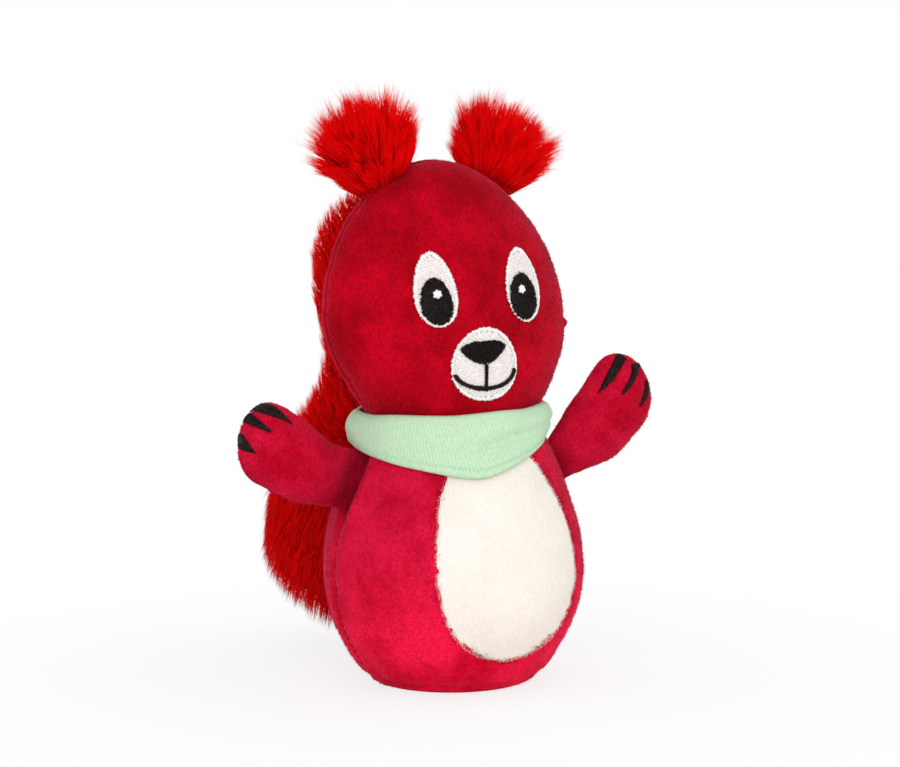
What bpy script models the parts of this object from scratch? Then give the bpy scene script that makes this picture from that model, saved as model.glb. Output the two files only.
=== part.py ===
"""A plush squirrel, sewn from velour and long-pile fur and stuffed with fibre.

It stands on a flat base panel with the origin at that panel's centre, faces -Y, and +Z is up.
Left and right are the squirrel's own, so its left arm is at +X. Lengths are in metres.

The covers are sewn shells that are open where they join their neighbours, and each holds its
own stuffing. Every form is a stack of rings, so a cover's outside, its inside and its stuffing
are the same stack with another growth.
"""

import math

import bmesh
import bpy
from mathutils import Vector

# Cloth and sewing
VELOUR = 0.0016
FUR_CLOTH = 0.0022
SEAM_GAP = 0.0003
THREAD_LAYER = 0.0007

# Body: a pear that stands on its base panel and ends at the neck
BASE_HALF_WIDTH = 0.0255
BODY_HALF_WIDTH = 0.0443
BODY_HALF_DEPTH = 0.0420
BODY_WIDEST_HEIGHT = 0.0380
BASE_SEAM_HEIGHT = 0.0030
NECK_HEIGHT = 0.0860
NECK_HALF_WIDTH = 0.0285
NECK_HALF_DEPTH = 0.0260
BODY_PINCH = 1.04

# Head: two panels stuffed like a pillow, leaning a little to its right
HEAD_HEIGHT = 0.0862
HEAD_HALF_WIDTH = 0.0440
HEAD_HALF_DEPTH = 0.0262
HEAD_WIDEST_SHARE = 0.385
HEAD_LEAN = -0.075
HEAD_PINCH = 1.16

# Tummy: a pale egg let into the front, up to just under the neck
TUMMY_LOW = 0.0120
TUMMY_TOP_MARGIN = 0.0010
TUMMY_HALF_WIDTH = 0.0256
TUMMY_OFFSET = 0.0014
TUMMY_TAPER = 0.30

# Arms: stuffed mittens sewn into the side seams at a drop below the neck
LEFT_SHOULDER_DROP = 0.0160
RIGHT_SHOULDER_DROP = 0.0170
SHOULDER_INSET = 0.0080
LEFT_ARM_LENGTH = 0.0465
RIGHT_ARM_LENGTH = 0.0425
ARM_HALF_WIDTH = 0.0092
PAW_HALF_WIDTH = 0.0132
PAW_START = 0.50
ARM_HALF_THICKNESS = 0.0090
ARM_SAG = 0.0022
LEFT_ARM_RAISE = math.radians(43)
RIGHT_ARM_RAISE = math.radians(22)

# Claws: black stitched wedges over each paw's end
CLAW_LENGTH = 0.0140
CLAW_HALF_WIDTH = 0.0022
CLAW_SPREAD = 0.0070
LEFT_CLAW_SHIFT = 0.0008
RIGHT_CLAW_SHIFT = 0.0032

# Ears: two tufts of long pile in the head's top seam
EAR_OFFSET = 0.0185
EAR_LENGTH = 0.0205
EAR_HALF_WIDTH = 0.0105
EAR_TOP_HALF_WIDTH = 0.0150
EAR_HALF_THICKNESS = 0.0095
EAR_SPLAY = math.radians(24)
EAR_LOCK = 0.0062

# Tail: an S seen from the side, against the back
# Each row of its side view is a share of its height, its reach behind the body, and its half
# thickness
TAIL_OFFSET = -0.0055
TAIL_LOW = 0.0160
TAIL_RISE = 0.0760
TAIL_SHAPE = (
    (0.00, 0.044, 0.0210),
    (0.08, 0.059, 0.0225),
    (0.18, 0.065, 0.0235),
    (0.29, 0.058, 0.0230),
    (0.45, 0.034, 0.0210),
    (0.58, 0.015, 0.0195),
    (0.73, 0.022, 0.0205),
    (0.86, 0.023, 0.0205),
    (1.00, 0.008, 0.0190),
)
TAIL_END_ROUNDING = 0.0210
TAIL_LOCK = 0.0065

# Scarf: a folded jersey triangle round the neck, its point at the front
SCARF_RISE = 0.0055
SCARF_SIDE_DROP = 0.0060
SCARF_POINT_DROP = 0.0138
SCARF_THICKNESS = 0.0032
SCARF_SHIFT = -0.0010
SCARF_EASE = 0.0012
SCARF_POINT_SPREAD = 2.2
SCARF_CLEARANCE = 0.0005
SCARF_TURN = math.radians(-12)
SCARF_TILT = math.radians(2.5)

# Face: stitched patches, placed by their distance from the middle and their rise above the neck
EYE_OFFSET = 0.0153
EYE_RISE = 0.0458
EYE_TILT = 0.0010
EYE_HALF_WIDTH = 0.0077
EYE_HALF_HEIGHT = 0.0124
PUPIL_HALF_WIDTH = 0.0058
PUPIL_HALF_HEIGHT = 0.0078
PUPIL_DROP = 0.0040
GLINT_RADIUS = 0.0016
GLINT_RISE = 0.0026
MUZZLE_OFFSET = -0.0013
MUZZLE_RISE = 0.0210
MUZZLE_HALF_WIDTH = 0.0126
MUZZLE_HALF_HEIGHT = 0.0121
NOSE_HALF_WIDTH = 0.0085
NOSE_HALF_HEIGHT = 0.0040
NOSE_RISE = 0.0042
SMILE_HALF_WIDTH = 0.0108
SMILE_RISE = 0.0060
SMILE_DROP = 0.0085
STITCH_LINE_WIDTH = 0.0016

# How finely the rings are divided
SKIN_SEGMENTS = 28
LINING_SEGMENTS = 16
BODY_RINGS = 11
HEAD_RINGS = 13
FAR = 0.3
BACKWARD = Vector((0, 1, 0))

PAINTS = {
    "crimson_velour": ((0.50, 0.012, 0.045), 0.9),
    "scarlet_fur": ((0.62, 0.005, 0.012), 0.8),
    "cream_velour": ((0.93, 0.87, 0.80), 0.9),
    "mint_jersey": ((0.56, 0.80, 0.56), 0.95),
    "white_thread": ((0.90, 0.86, 0.84), 0.6),
    "black_thread": ((0.012, 0.010, 0.010), 0.5),
    "fibre_filling": ((0.90, 0.90, 0.88), 1.0),
}


def clear_scene():
    for obj in list(bpy.data.objects):
        bpy.data.objects.remove(obj)


def new_collection(name):
    collection = bpy.data.collections.new(name)
    bpy.context.scene.collection.children.link(collection)
    return collection


def paint(name):
    """The material of that name, made when it is first asked for."""
    made = bpy.data.materials.get(name)
    if made is None:
        colour, roughness = PAINTS[name]
        made = bpy.data.materials.new(name)
        made.use_nodes = True
        shader = made.node_tree.nodes["Principled BSDF"]
        shader.inputs["Base Color"].default_value = (*colour, 1.0)
        shader.inputs["Roughness"].default_value = roughness
        made.diffuse_color = (*colour, 1.0)
    return made


def mix(low, high, share):
    return low + (high - low) * share


def smooth_read(table, at, column=1):
    """Reads a column of a table, whose first column is the position, along a smooth curve."""
    last = len(table) - 1
    at = min(max(at, table[0][0]), table[last][0])
    step = next(i for i in range(last) if at <= table[i + 1][0] or i == last - 1)
    share = (at - table[step][0]) / (table[step + 1][0] - table[step][0])
    before, start, end, after = (
        table[min(max(step + k, 0), last)][column] for k in (-1, 0, 1, 2)
    )
    return 0.5 * (
        2 * start
        + (end - before) * share
        + (2 * before - 5 * start + 4 * end - after) * share**2
        + (3 * start - before - 3 * end + after) * share**3
    )


def round_spacing(count):
    """Shares from 0 to 1 that lie closer together at both ends."""
    return [(1 - math.cos(math.pi * i / count)) / 2 for i in range(count + 1)]


def ring_stack(rings, segments, place, close_top=False):
    """A closed mesh of rings: a cylinder cut into rings, each point moved to place(share, turn)."""
    shape = bmesh.new()
    bmesh.ops.create_cone(
        shape, cap_ends=True, segments=segments, radius1=1, radius2=1, depth=1
    )
    uprights = [e for e in shape.edges if abs(e.verts[0].co.z - e.verts[1].co.z) > 0.5]
    bmesh.ops.subdivide_edges(
        shape, edges=uprights, cuts=len(rings) - 2, use_grid_fill=True
    )
    last = len(rings) - 1
    for vert in shape.verts:
        share = rings[round((vert.co.z + 0.5) * last)]
        vert.co = place(share, math.atan2(vert.co.y, vert.co.x))
    if close_top:
        bmesh.ops.remove_doubles(shape, verts=shape.verts, dist=0.0001)
    bmesh.ops.recalc_face_normals(shape, faces=shape.faces)
    return shape


def finish_mesh(shape, name):
    """The shape as a mesh of triangles, split alike so that a form and its lining stay parallel."""
    bmesh.ops.triangulate(shape, faces=shape.faces, quad_method="FIXED")
    mesh = bpy.data.meshes.new(name)
    shape.to_mesh(mesh)
    shape.free()
    return mesh


def new_piece(name, mesh, material):
    """An object of the toy itself."""
    piece = bpy.data.objects.new(name, mesh.copy())
    piece.data.name = name
    piece.data.materials.append(paint(material))
    toy.objects.link(piece)
    return piece


def new_cutter(name, mesh):
    """A helper that shapes other pieces and isn't part of the toy."""
    cutter = bpy.data.objects.new(name, mesh)
    cutter.hide_render = True
    cutter.display_type = "WIRE"
    helpers.objects.link(cutter)
    return cutter


def box_cutter(name, low, high):
    shape = bmesh.new()
    bmesh.ops.create_cube(shape, size=1)
    low, high = Vector(low), Vector(high)
    for vert in shape.verts:
        vert.co = (low + high) / 2 + Vector(
            vert.co[k] * (high - low)[k] for k in range(3)
        )
    return new_cutter(name, finish_mesh(shape, name))


def boolean(piece, cutter, operation="DIFFERENCE"):
    modifier = piece.modifiers.new(f"{operation.lower()} {cutter.name}", "BOOLEAN")
    modifier.operation = operation
    modifier.object = cutter
    modifier.solver = "EXACT"


def keep_inside(piece, *cutters):
    for cutter in cutters:
        boolean(piece, cutter, "INTERSECT")


def take_away(piece, *cutters):
    for cutter in cutters:
        boolean(piece, cutter, "DIFFERENCE")


def pinched(sine, pinch):
    """The depth of a pillow's section: the higher the pinch, the sharper its side seam."""
    return math.copysign(abs(sine) ** pinch, sine)


# The pear-shaped body


def body_fullness(height):
    """0 at the base or neck, 1 at the widest height."""
    if height < BODY_WIDEST_HEIGHT:
        return math.sin(max(height, 0) / BODY_WIDEST_HEIGHT * math.pi / 2) ** 0.7
    above = (height - BODY_WIDEST_HEIGHT) / (NECK_HEIGHT - BODY_WIDEST_HEIGHT)
    return math.cos(min(above, 1) * math.pi / 2)


def body_half_sizes(height):
    """Half the body's width and depth at a height."""
    full = body_fullness(height)
    if height < BODY_WIDEST_HEIGHT:
        base_half_depth = BASE_HALF_WIDTH * BODY_HALF_DEPTH / BODY_HALF_WIDTH
        return (
            mix(BASE_HALF_WIDTH, BODY_HALF_WIDTH, full),
            mix(base_half_depth, BODY_HALF_DEPTH, full),
        )
    return (
        mix(NECK_HALF_WIDTH, BODY_HALF_WIDTH, full),
        mix(NECK_HALF_DEPTH, BODY_HALF_DEPTH, full),
    )


def body_form(grow, segments, rings, overshoot=0.0):
    """The body as a closed form, grown by that much, reaching past the neck by the overshoot."""

    def place(share, turn):
        height = share * (NECK_HEIGHT + overshoot)
        half_width, half_depth = body_half_sizes(height)
        lift = -grow * (1 - share) ** 4
        return Vector(
            (
                (half_width + grow) * math.cos(turn),
                (half_depth + grow) * pinched(math.sin(turn), BODY_PINCH),
                height + lift,
            )
        )

    return ring_stack(round_spacing(rings), segments, place)


# The head


def head_profile(share):
    """The head's half width as a share of its widest, from the neck at 0 to the crown at 1."""
    neck = NECK_HALF_WIDTH / HEAD_HALF_WIDTH
    if share < HEAD_WIDEST_SHARE:
        below = 1 - share / HEAD_WIDEST_SHARE
        return mix(neck, 1, math.cos(below * math.pi / 2) ** 1.15)
    above = (share - HEAD_WIDEST_SHARE) / (1 - HEAD_WIDEST_SHARE)
    return max(1 - above**1.95, 0) ** 0.53


def head_half_depth(share):
    if share < HEAD_WIDEST_SHARE:
        return mix(NECK_HALF_DEPTH, HEAD_HALF_DEPTH, share / HEAD_WIDEST_SHARE)
    return HEAD_HALF_DEPTH * head_profile(share) ** 0.8


def head_lean(height):
    """How far the head's middle has moved sideways at a height."""
    return HEAD_LEAN * (height - NECK_HEIGHT)


def head_form(grow, segments, rings, overshoot=0.0):
    """The head as a closed form, grown by that much, reaching below the neck by the overshoot."""

    def place(share, turn):
        height = NECK_HEIGHT - overshoot + share * (HEAD_HEIGHT + overshoot + grow)
        level = (height - NECK_HEIGHT) / (HEAD_HEIGHT + grow)
        level = min(max(level, 0), 1)
        profile = head_profile(level)
        growth = grow * min(1, profile / 0.45)
        return Vector(
            (
                head_lean(height)
                + (HEAD_HALF_WIDTH * profile + growth) * math.cos(turn),
                (head_half_depth(level) + growth) * pinched(math.sin(turn), HEAD_PINCH),
                height,
            )
        )

    return ring_stack(round_spacing(rings), segments, place, close_top=True)


# Stitched outlines on the front


def oval(half_width, half_height, taper):
    """A point on an egg at an angle: a positive taper narrows its top."""

    def outline(angle):
        rise = math.sin(angle)
        return (
            half_width * math.cos(angle) * (1 - taper * rise),
            half_height * rise,
        )

    return outline


def nose_outline(angle):
    """A rounded triangle that points down, with a slightly bowed top."""
    rise, run = math.sin(angle), math.cos(angle)
    if rise > 0:
        return NOSE_HALF_WIDTH * run, NOSE_HALF_HEIGHT * 0.8 * rise**0.5
    return NOSE_HALF_WIDTH * math.copysign(abs(run) ** 1.3, run), 1.15 * NOSE_HALF_HEIGHT * rise


def outline_cutter(name, outline, middle, segments=20):
    """A prism along Y with that outline, in front of the side seams."""
    shape = bmesh.new()
    bmesh.ops.create_cone(
        shape, cap_ends=True, segments=segments, radius1=1, radius2=1, depth=1
    )
    for vert in shape.verts:
        across, up = outline(math.atan2(vert.co.y, vert.co.x))
        forward = SEAM_GAP + (0.5 - vert.co.z) * FAR
        vert.co = (middle[0] + across, -forward, middle[1] + up)
    bmesh.ops.recalc_face_normals(shape, faces=shape.faces)
    return new_cutter(name, finish_mesh(shape, name))


def line_cutter(name, points, width):
    """A prism along Y for a stitched line of that width through points (across, up)."""
    curve = bpy.data.curves.new(name, "CURVE")
    curve.dimensions = "3D"
    curve.extrude = FAR / 2
    spline = curve.splines.new("POLY")
    spline.points.add(len(points) - 1)
    for point, (across, up) in zip(spline.points, points):
        point.co = (across, up, FAR / 2, 1)
    ribbon = bpy.data.objects.new(f"{name} ribbon", curve)
    helpers.objects.link(ribbon)
    mesh = bpy.data.meshes.new_from_object(
        ribbon.evaluated_get(bpy.context.evaluated_depsgraph_get())
    )
    bpy.data.objects.remove(ribbon)
    for vert in mesh.vertices:
        vert.co = (vert.co.x, -vert.co.z, vert.co.y)
    cutter = new_cutter(name, mesh)
    solidify = cutter.modifiers.new("width", "SOLIDIFY")
    solidify.thickness = width
    solidify.offset = 0
    solidify.use_even_offset = True
    return cutter


def stitched_patch(name, layer, cutter, material):
    """A thin raised patch of thread on the face, cut to an outline. Layer 0 lies on the velour."""
    low = SEAM_GAP + layer * (THREAD_LAYER + SEAM_GAP)
    patch = new_piece(name, face_skin(low + THREAD_LAYER), material)
    take_away(patch, new_cutter(f"{name} back", face_skin(low)))
    keep_inside(patch, cutter)
    return patch


def face_skin(grow):
    return finish_mesh(head_form(grow, SKIN_SEGMENTS, HEAD_RINGS), "face")


# Fur


def raise_locks(shape, faces, length, nap):
    """Turns faces into four-sided locks of fur: each tip stands off its face and leans with the nap."""
    poked = bmesh.ops.poke(shape, faces=faces, center_mode="MEAN")
    shape.normal_update()
    for tip in poked["verts"]:
        tip.co += tip.normal * length * 0.75 + nap(tip.co) * length * 0.65
    shape.normal_update()


# The toy's pieces


def build_body():
    skin = finish_mesh(body_form(0, SKIN_SEGMENTS, BODY_RINGS), "body skin")
    lining = new_cutter(
        "body lining", finish_mesh(body_form(-VELOUR, LINING_SEGMENTS, 8, 0.004), "lining")
    )
    seam, foot = SEAM_GAP / 2, BASE_SEAM_HEIGHT + SEAM_GAP
    front_right = box_cutter("front right", (-FAR, -FAR, foot), (-seam, -seam, FAR))
    front_left = box_cutter("front left", (seam, -FAR, foot), (FAR, -seam, FAR))
    back_upper = box_cutter("back above base", (-FAR, seam, foot), (FAR, FAR, FAR))
    below_base = box_cutter("below base", (-FAR, -FAR, -FAR), (FAR, FAR, BASE_SEAM_HEIGHT))
    tummy_high = NECK_HEIGHT - TUMMY_TOP_MARGIN
    tummy_middle = (TUMMY_OFFSET, (TUMMY_LOW + tummy_high) / 2)
    tummy_half_height = (tummy_high - TUMMY_LOW) / 2
    opening = outline_cutter(
        "tummy opening",
        oval(TUMMY_HALF_WIDTH + SEAM_GAP, tummy_half_height + SEAM_GAP, TUMMY_TAPER),
        tummy_middle,
        32,
    )
    outline = outline_cutter(
        "tummy outline",
        oval(TUMMY_HALF_WIDTH, tummy_half_height, TUMMY_TAPER),
        tummy_middle,
        32,
    )
    for name, corner in (
        ("body_front_right_panel", front_right),
        ("body_front_left_panel", front_left),
    ):
        panel = new_piece(name, skin, "crimson_velour")
        keep_inside(panel, corner)
        take_away(panel, lining, opening)
    tummy = new_piece("tummy_panel", skin, "cream_velour")
    keep_inside(tummy, outline)
    take_away(tummy, lining)
    back = new_piece("body_back_panel", skin, "crimson_velour")
    keep_inside(back, back_upper)
    take_away(back, lining)
    base = new_piece("base_panel", skin, "crimson_velour")
    keep_inside(base, below_base)
    take_away(base, lining)
    filling = new_piece(
        "body_stuffing",
        finish_mesh(body_form(-VELOUR - SEAM_GAP, LINING_SEGMENTS, 8, 0.004), "stuffing"),
        "fibre_filling",
    )
    keep_inside(
        filling, box_cutter("below neck", (-FAR, -FAR, -FAR), (FAR, FAR, NECK_HEIGHT))
    )


def build_head():
    skin = finish_mesh(head_form(0, SKIN_SEGMENTS, HEAD_RINGS), "head skin")
    lining = new_cutter(
        "head lining", finish_mesh(head_form(-VELOUR, LINING_SEGMENTS, 9, 0.004), "lining")
    )
    seam, foot = SEAM_GAP / 2, NECK_HEIGHT + SEAM_GAP
    front_half = box_cutter("head front", (-FAR, -FAR, foot), (FAR, -seam, FAR))
    back_half = box_cutter("head back", (-FAR, seam, foot), (FAR, FAR, FAR))
    above_neck = box_cutter("above neck", (-FAR, -FAR, foot), (FAR, FAR, FAR))
    for name, half in (("head_front_panel", front_half), ("head_back_panel", back_half)):
        panel = new_piece(name, skin, "crimson_velour")
        keep_inside(panel, half)
        take_away(panel, lining)
    filling = new_piece(
        "head_stuffing",
        finish_mesh(head_form(-VELOUR - SEAM_GAP, LINING_SEGMENTS, 9, 0.004), "stuffing"),
        "fibre_filling",
    )
    keep_inside(filling, above_neck)


def build_face():
    for side, name in ((-1, "right"), (1, "left")):
        up = NECK_HEIGHT + EYE_RISE + side * EYE_TILT
        across = side * EYE_OFFSET + head_lean(up)
        white = outline_cutter(
            f"eye {name}", oval(EYE_HALF_WIDTH, EYE_HALF_HEIGHT, 0.10), (across, up)
        )
        stitched_patch(f"eye_white_{name}", 0, white, "white_thread")
        pupil_up = up - PUPIL_DROP
        pupil = outline_cutter(
            f"pupil {name}",
            oval(PUPIL_HALF_WIDTH, PUPIL_HALF_HEIGHT, 0.06),
            (across, pupil_up),
            16,
        )
        stitched_patch(f"pupil_{name}", 1, pupil, "black_thread")
        glint = outline_cutter(
            f"glint {name}",
            oval(GLINT_RADIUS, GLINT_RADIUS, 0),
            (across, pupil_up + GLINT_RISE),
            8,
        )
        stitched_patch(f"eye_glint_{name}", 2, glint, "white_thread")
    muzzle_height = NECK_HEIGHT + MUZZLE_RISE
    middle = MUZZLE_OFFSET + head_lean(muzzle_height)
    muzzle = outline_cutter(
        "muzzle outline",
        oval(MUZZLE_HALF_WIDTH, MUZZLE_HALF_HEIGHT, 0.08),
        (middle, muzzle_height),
        24,
    )
    stitched_patch("muzzle_patch", 0, muzzle, "white_thread")
    nose = outline_cutter(
        "nose outline", nose_outline, (middle, muzzle_height + NOSE_RISE), 18
    )
    stitched_patch("nose", 1, nose, "black_thread")
    smile_low = muzzle_height - SMILE_DROP
    smile = [
        (
            middle + SMILE_HALF_WIDTH * math.sin(bend),
            smile_low + SMILE_RISE * (1 - math.cos(bend)),
        )
        for bend in (math.pi / 2 * step / 5 for step in range(-5, 6))
    ]
    stitched_patch(
        "mouth_line", 1, line_cutter("smile line", smile, STITCH_LINE_WIDTH), "black_thread"
    )
    nose_tip = muzzle_height + NOSE_RISE - 1.15 * NOSE_HALF_HEIGHT
    lip = [
        (middle, nose_tip - SEAM_GAP),
        (middle, smile_low + STITCH_LINE_WIDTH / 2 + SEAM_GAP),
    ]
    stitched_patch(
        "lip_line", 1, line_cutter("lip line cutter", lip, STITCH_LINE_WIDTH), "black_thread"
    )


def arm_axes(side):
    """An arm's start on the side seam, the way it points, the way across it, and its length."""
    drop, angle, length = (
        (LEFT_SHOULDER_DROP, LEFT_ARM_RAISE, LEFT_ARM_LENGTH)
        if side > 0
        else (RIGHT_SHOULDER_DROP, RIGHT_ARM_RAISE, RIGHT_ARM_LENGTH)
    )
    high = NECK_HEIGHT - drop
    root = Vector((side * body_half_sizes(high)[0], 0, high))
    out = Vector((side * math.cos(angle), 0, math.sin(angle)))
    return root, out, Vector((-side * out.z, 0, side * out.x)), length


def arm_form(side, grow, segments, rings, overshoot=0.0):
    """A mitten from inside the side seam to the paw's tip, in the plane of the seam."""
    root, out, across, length = arm_axes(side)
    start = -SHOULDER_INSET - overshoot

    def place(share, turn):
        turn += math.pi / segments
        along = mix(start, length + grow, share)
        paw = min(max(along / length / PAW_START, 0), 1)
        spread = paw * paw * (3 - 2 * paw)
        tip = max(share - 0.72, 0) / 0.28
        rounding = math.sqrt(max(1 - tip**3, 0))
        middle = along / length
        sag = ARM_SAG * 4 * middle * (1 - middle)
        half_width = mix(ARM_HALF_WIDTH, PAW_HALF_WIDTH, spread) + grow
        half_thick = mix(0.92, 1, spread) * ARM_HALF_THICKNESS + grow
        return (
            root
            + out * along
            + BACKWARD * (half_thick * rounding * pinched(math.cos(turn), 1.12))
            + across * (half_width * rounding * math.sin(turn) - sag)
        )

    return ring_stack(arm_rings(rings), segments, place, close_top=True)


def arm_rings(count):
    """Rings along an arm, closer together towards the paw's tip."""
    return [math.sin(math.pi / 2 * i / count) for i in range(count + 1)]


def build_arm(side, name, seats):
    skin = finish_mesh(arm_form(side, 0, 16, 9), "arm skin")
    lining = new_cutter(
        f"{name} arm lining",
        finish_mesh(arm_form(side, -VELOUR, 12, 6, 0.003), "lining"),
    )
    for half_name, low, high in (
        ("front", -FAR, -SEAM_GAP / 2),
        ("back", SEAM_GAP / 2, FAR),
    ):
        half = box_cutter(f"{name} arm {half_name}", (-FAR, low, -FAR), (FAR, high, FAR))
        panel = new_piece(f"arm_{name}_{half_name}_panel", skin, "crimson_velour")
        keep_inside(panel, half)
        take_away(panel, lining, *seats)
    filling = new_piece(
        f"arm_{name}_stuffing",
        finish_mesh(arm_form(side, -VELOUR - SEAM_GAP, 12, 6, 0.003), "stuffing"),
        "fibre_filling",
    )
    take_away(filling, *seats)
    build_claws(side, name)


def build_claws(side, name):
    """Three wedges that run back over the paw's front from its tip."""
    root, out, across, length = arm_axes(side)
    shift = LEFT_CLAW_SHIFT if side > 0 else RIGHT_CLAW_SHIFT
    for number in (-1, 0, 1):
        tip = root + out * (length - CLAW_LENGTH * (0.40 + 0.10 * abs(number)))
        tip += across * (CLAW_SPREAD * number + shift)

        def outline(angle):
            along = math.cos(angle)
            wide = math.sin(angle) * (1 + 0.55 * along)
            point = out * (along * CLAW_LENGTH * 0.58) + across * (wide * CLAW_HALF_WIDTH)
            return point.x, point.z

        label = ("lower", "middle", "upper")[number + 1]
        low = finish_mesh(arm_form(side, SEAM_GAP, 16, 9), "claw back")
        high = finish_mesh(arm_form(side, SEAM_GAP + THREAD_LAYER, 16, 9), "claw skin")
        claw = new_piece(f"claw_{name}_{label}", high, "black_thread")
        take_away(claw, new_cutter(f"{name} {label} claw back", low))
        cutter = outline_cutter(f"{name} {label} claw", outline, (tip.x, tip.z), 10)
        keep_inside(claw, cutter)


def build_ear(side, name, head_seat):
    """A tuft that stands in the top seam and spreads towards its end."""
    crown = crown_height(EAR_OFFSET)
    foot = Vector((side * EAR_OFFSET + head_lean(crown), 0, crown - 0.004))
    splay = side * EAR_SPLAY + math.atan(HEAD_LEAN)
    up = Vector((math.sin(splay), 0, math.cos(splay)))
    across = Vector((up.z, 0, -up.x))

    def place(share, turn):
        spread = min(share / 0.7, 1)
        rounding = math.sqrt(max(1 - (max(share - 0.45, 0) / 0.55) ** 2.4, 0))
        half_width = mix(EAR_HALF_WIDTH, EAR_TOP_HALF_WIDTH, spread) * rounding
        half_thick = mix(0.8, 1.05, spread) * EAR_HALF_THICKNESS * rounding
        return (
            foot
            + up * (share * (EAR_LENGTH + 0.004))
            + across * (half_width * math.cos(turn))
            + BACKWARD * (half_thick * math.sin(turn))
        )

    shape = ring_stack(round_spacing(7), 14, place, close_top=True)
    level = foot.z + 0.009
    faces = [f for f in shape.faces if f.calc_center_median().z > level]
    raise_locks(shape, faces, EAR_LOCK, lambda at: (at - foot).normalized())
    ear = new_piece(f"ear_{name}", finish_mesh(shape, "ear"), "scarlet_fur")
    take_away(ear, head_seat)


def crown_height(across):
    """How high the head's top seam is at a distance from its middle."""
    low, high = HEAD_WIDEST_SHARE, 1.0
    for _ in range(40):
        share = (low + high) / 2
        if head_profile(share) * HEAD_HALF_WIDTH > across:
            low = share
        else:
            high = share
    return NECK_HEIGHT + low * HEAD_HEIGHT


def back_depth(height):
    """How far the back of the body or head lies behind the middle at a height."""
    if height < NECK_HEIGHT:
        return body_half_sizes(height)[1]
    return head_half_depth(min((height - NECK_HEIGHT) / HEAD_HEIGHT, 1))


def tail_form(grow, segments, rings):
    """The tail as a stack of level rings between the toy's back and its own back edge."""
    low, high = TAIL_LOW - grow, NECK_HEIGHT + TAIL_RISE + grow

    def place(share, turn):
        height = mix(low, high, share)
        near_end = min(height - low, high - height, TAIL_END_ROUNDING)
        rounding = math.sqrt(max(1 - (1 - near_end / TAIL_END_ROUNDING) ** 2, 0))
        front = max(back_depth(height - 0.004), back_depth(height + 0.004))
        front += SEAM_GAP + 0.0004
        edge = BODY_HALF_DEPTH + smooth_read(TAIL_SHAPE, share)
        half_depth = ((edge - front) / 2 + grow) * rounding
        half_thick = (smooth_read(TAIL_SHAPE, share, 2) + grow) * rounding
        return Vector(
            (
                TAIL_OFFSET + half_thick * math.cos(turn),
                (front + edge) / 2 + half_depth * math.sin(turn),
                height,
            )
        )

    return ring_stack(round_spacing(rings), segments, place)


def build_tail(seats):
    shape = tail_form(0, 14, 14)
    faces = [
        f
        for f in shape.faces
        if len(f.verts) == 4 and f.normal.y > -0.35 and abs(f.normal.z) < 0.9
    ]
    raise_locks(shape, faces, TAIL_LOCK, lambda at: Vector((0, 0, -1)))
    skin = finish_mesh(shape, "tail skin")
    lining = new_cutter("tail lining", finish_mesh(tail_form(-FUR_CLOTH, 10, 10), "lining"))
    for name, low, high in (
        ("right", -FAR, TAIL_OFFSET - SEAM_GAP / 2),
        ("left", TAIL_OFFSET + SEAM_GAP / 2, FAR),
    ):
        half = box_cutter(f"tail {name} side", (low, -FAR, -FAR), (high, FAR, FAR))
        panel = new_piece(f"tail_{name}_panel", skin, "scarlet_fur")
        keep_inside(panel, half)
        take_away(panel, lining, *seats)
    filling = new_piece(
        "tail_stuffing",
        finish_mesh(tail_form(-FUR_CLOTH - SEAM_GAP, 10, 10), "stuffing"),
        "fibre_filling",
    )
    take_away(filling, *seats)


def neck_half_sizes(height):
    """Half the width and depth of whichever is wider at a height, the body or the head."""
    if height <= NECK_HEIGHT:
        return body_half_sizes(height)
    level = (height - NECK_HEIGHT) / HEAD_HEIGHT
    return HEAD_HALF_WIDTH * head_profile(level), head_half_depth(level)


def scarf_form(grow):
    """The scarf's outside: a band whose lower edge dips to a point in front."""

    def place(share, turn):
        facing = max(-math.sin(turn - SCARF_TURN), 0) ** SCARF_POINT_SPREAD
        drop = mix(SCARF_SIDE_DROP, SCARF_POINT_DROP, facing) + grow
        height = NECK_HEIGHT + mix(-drop, SCARF_RISE + grow, share)
        height += NECK_HALF_WIDTH * math.cos(turn) * math.tan(SCARF_TILT)
        half_width, half_depth = body_half_sizes(min(height, NECK_HEIGHT - 0.003))
        out = SCARF_THICKNESS + SCARF_EASE * math.sin(share * math.pi) + grow
        return Vector(
            (
                SCARF_SHIFT + (half_width + out) * math.cos(turn),
                (half_depth + out) * pinched(math.sin(turn), BODY_PINCH),
                height,
            )
        )

    shape = ring_stack([i / 4 for i in range(5)], SKIN_SEGMENTS, place)
    caps = [f for f in shape.faces if len(f.verts) > 4]
    bmesh.ops.poke(shape, faces=caps)
    return finish_mesh(shape, "scarf")


def neck_form(grow):
    """What the scarf goes round: the body's upper end and the head's lower end."""
    overshoot = 2 * SCARF_THICKNESS
    low = NECK_HEIGHT - SCARF_POINT_DROP - overshoot
    reach = NECK_HEIGHT + SCARF_RISE + overshoot - low

    def place(share, turn):
        height = low + share * reach
        half_width, half_depth = neck_half_sizes(height)
        return Vector(
            (
                head_lean(max(height, NECK_HEIGHT)) + (half_width + grow) * math.cos(turn),
                (half_depth + grow) * pinched(math.sin(turn), BODY_PINCH),
                height,
            )
        )

    neck = (NECK_HEIGHT - low) / reach
    rings = [0, neck / 3, neck * 2 / 3, neck, (neck + 1) / 2, 1]
    return finish_mesh(ring_stack(rings, SKIN_SEGMENTS, place), "neck")


def build_scarf():
    scarf = new_piece("scarf", scarf_form(0), "mint_jersey")
    take_away(scarf, new_cutter("neck", neck_form(SCARF_CLEARANCE)))


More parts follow.
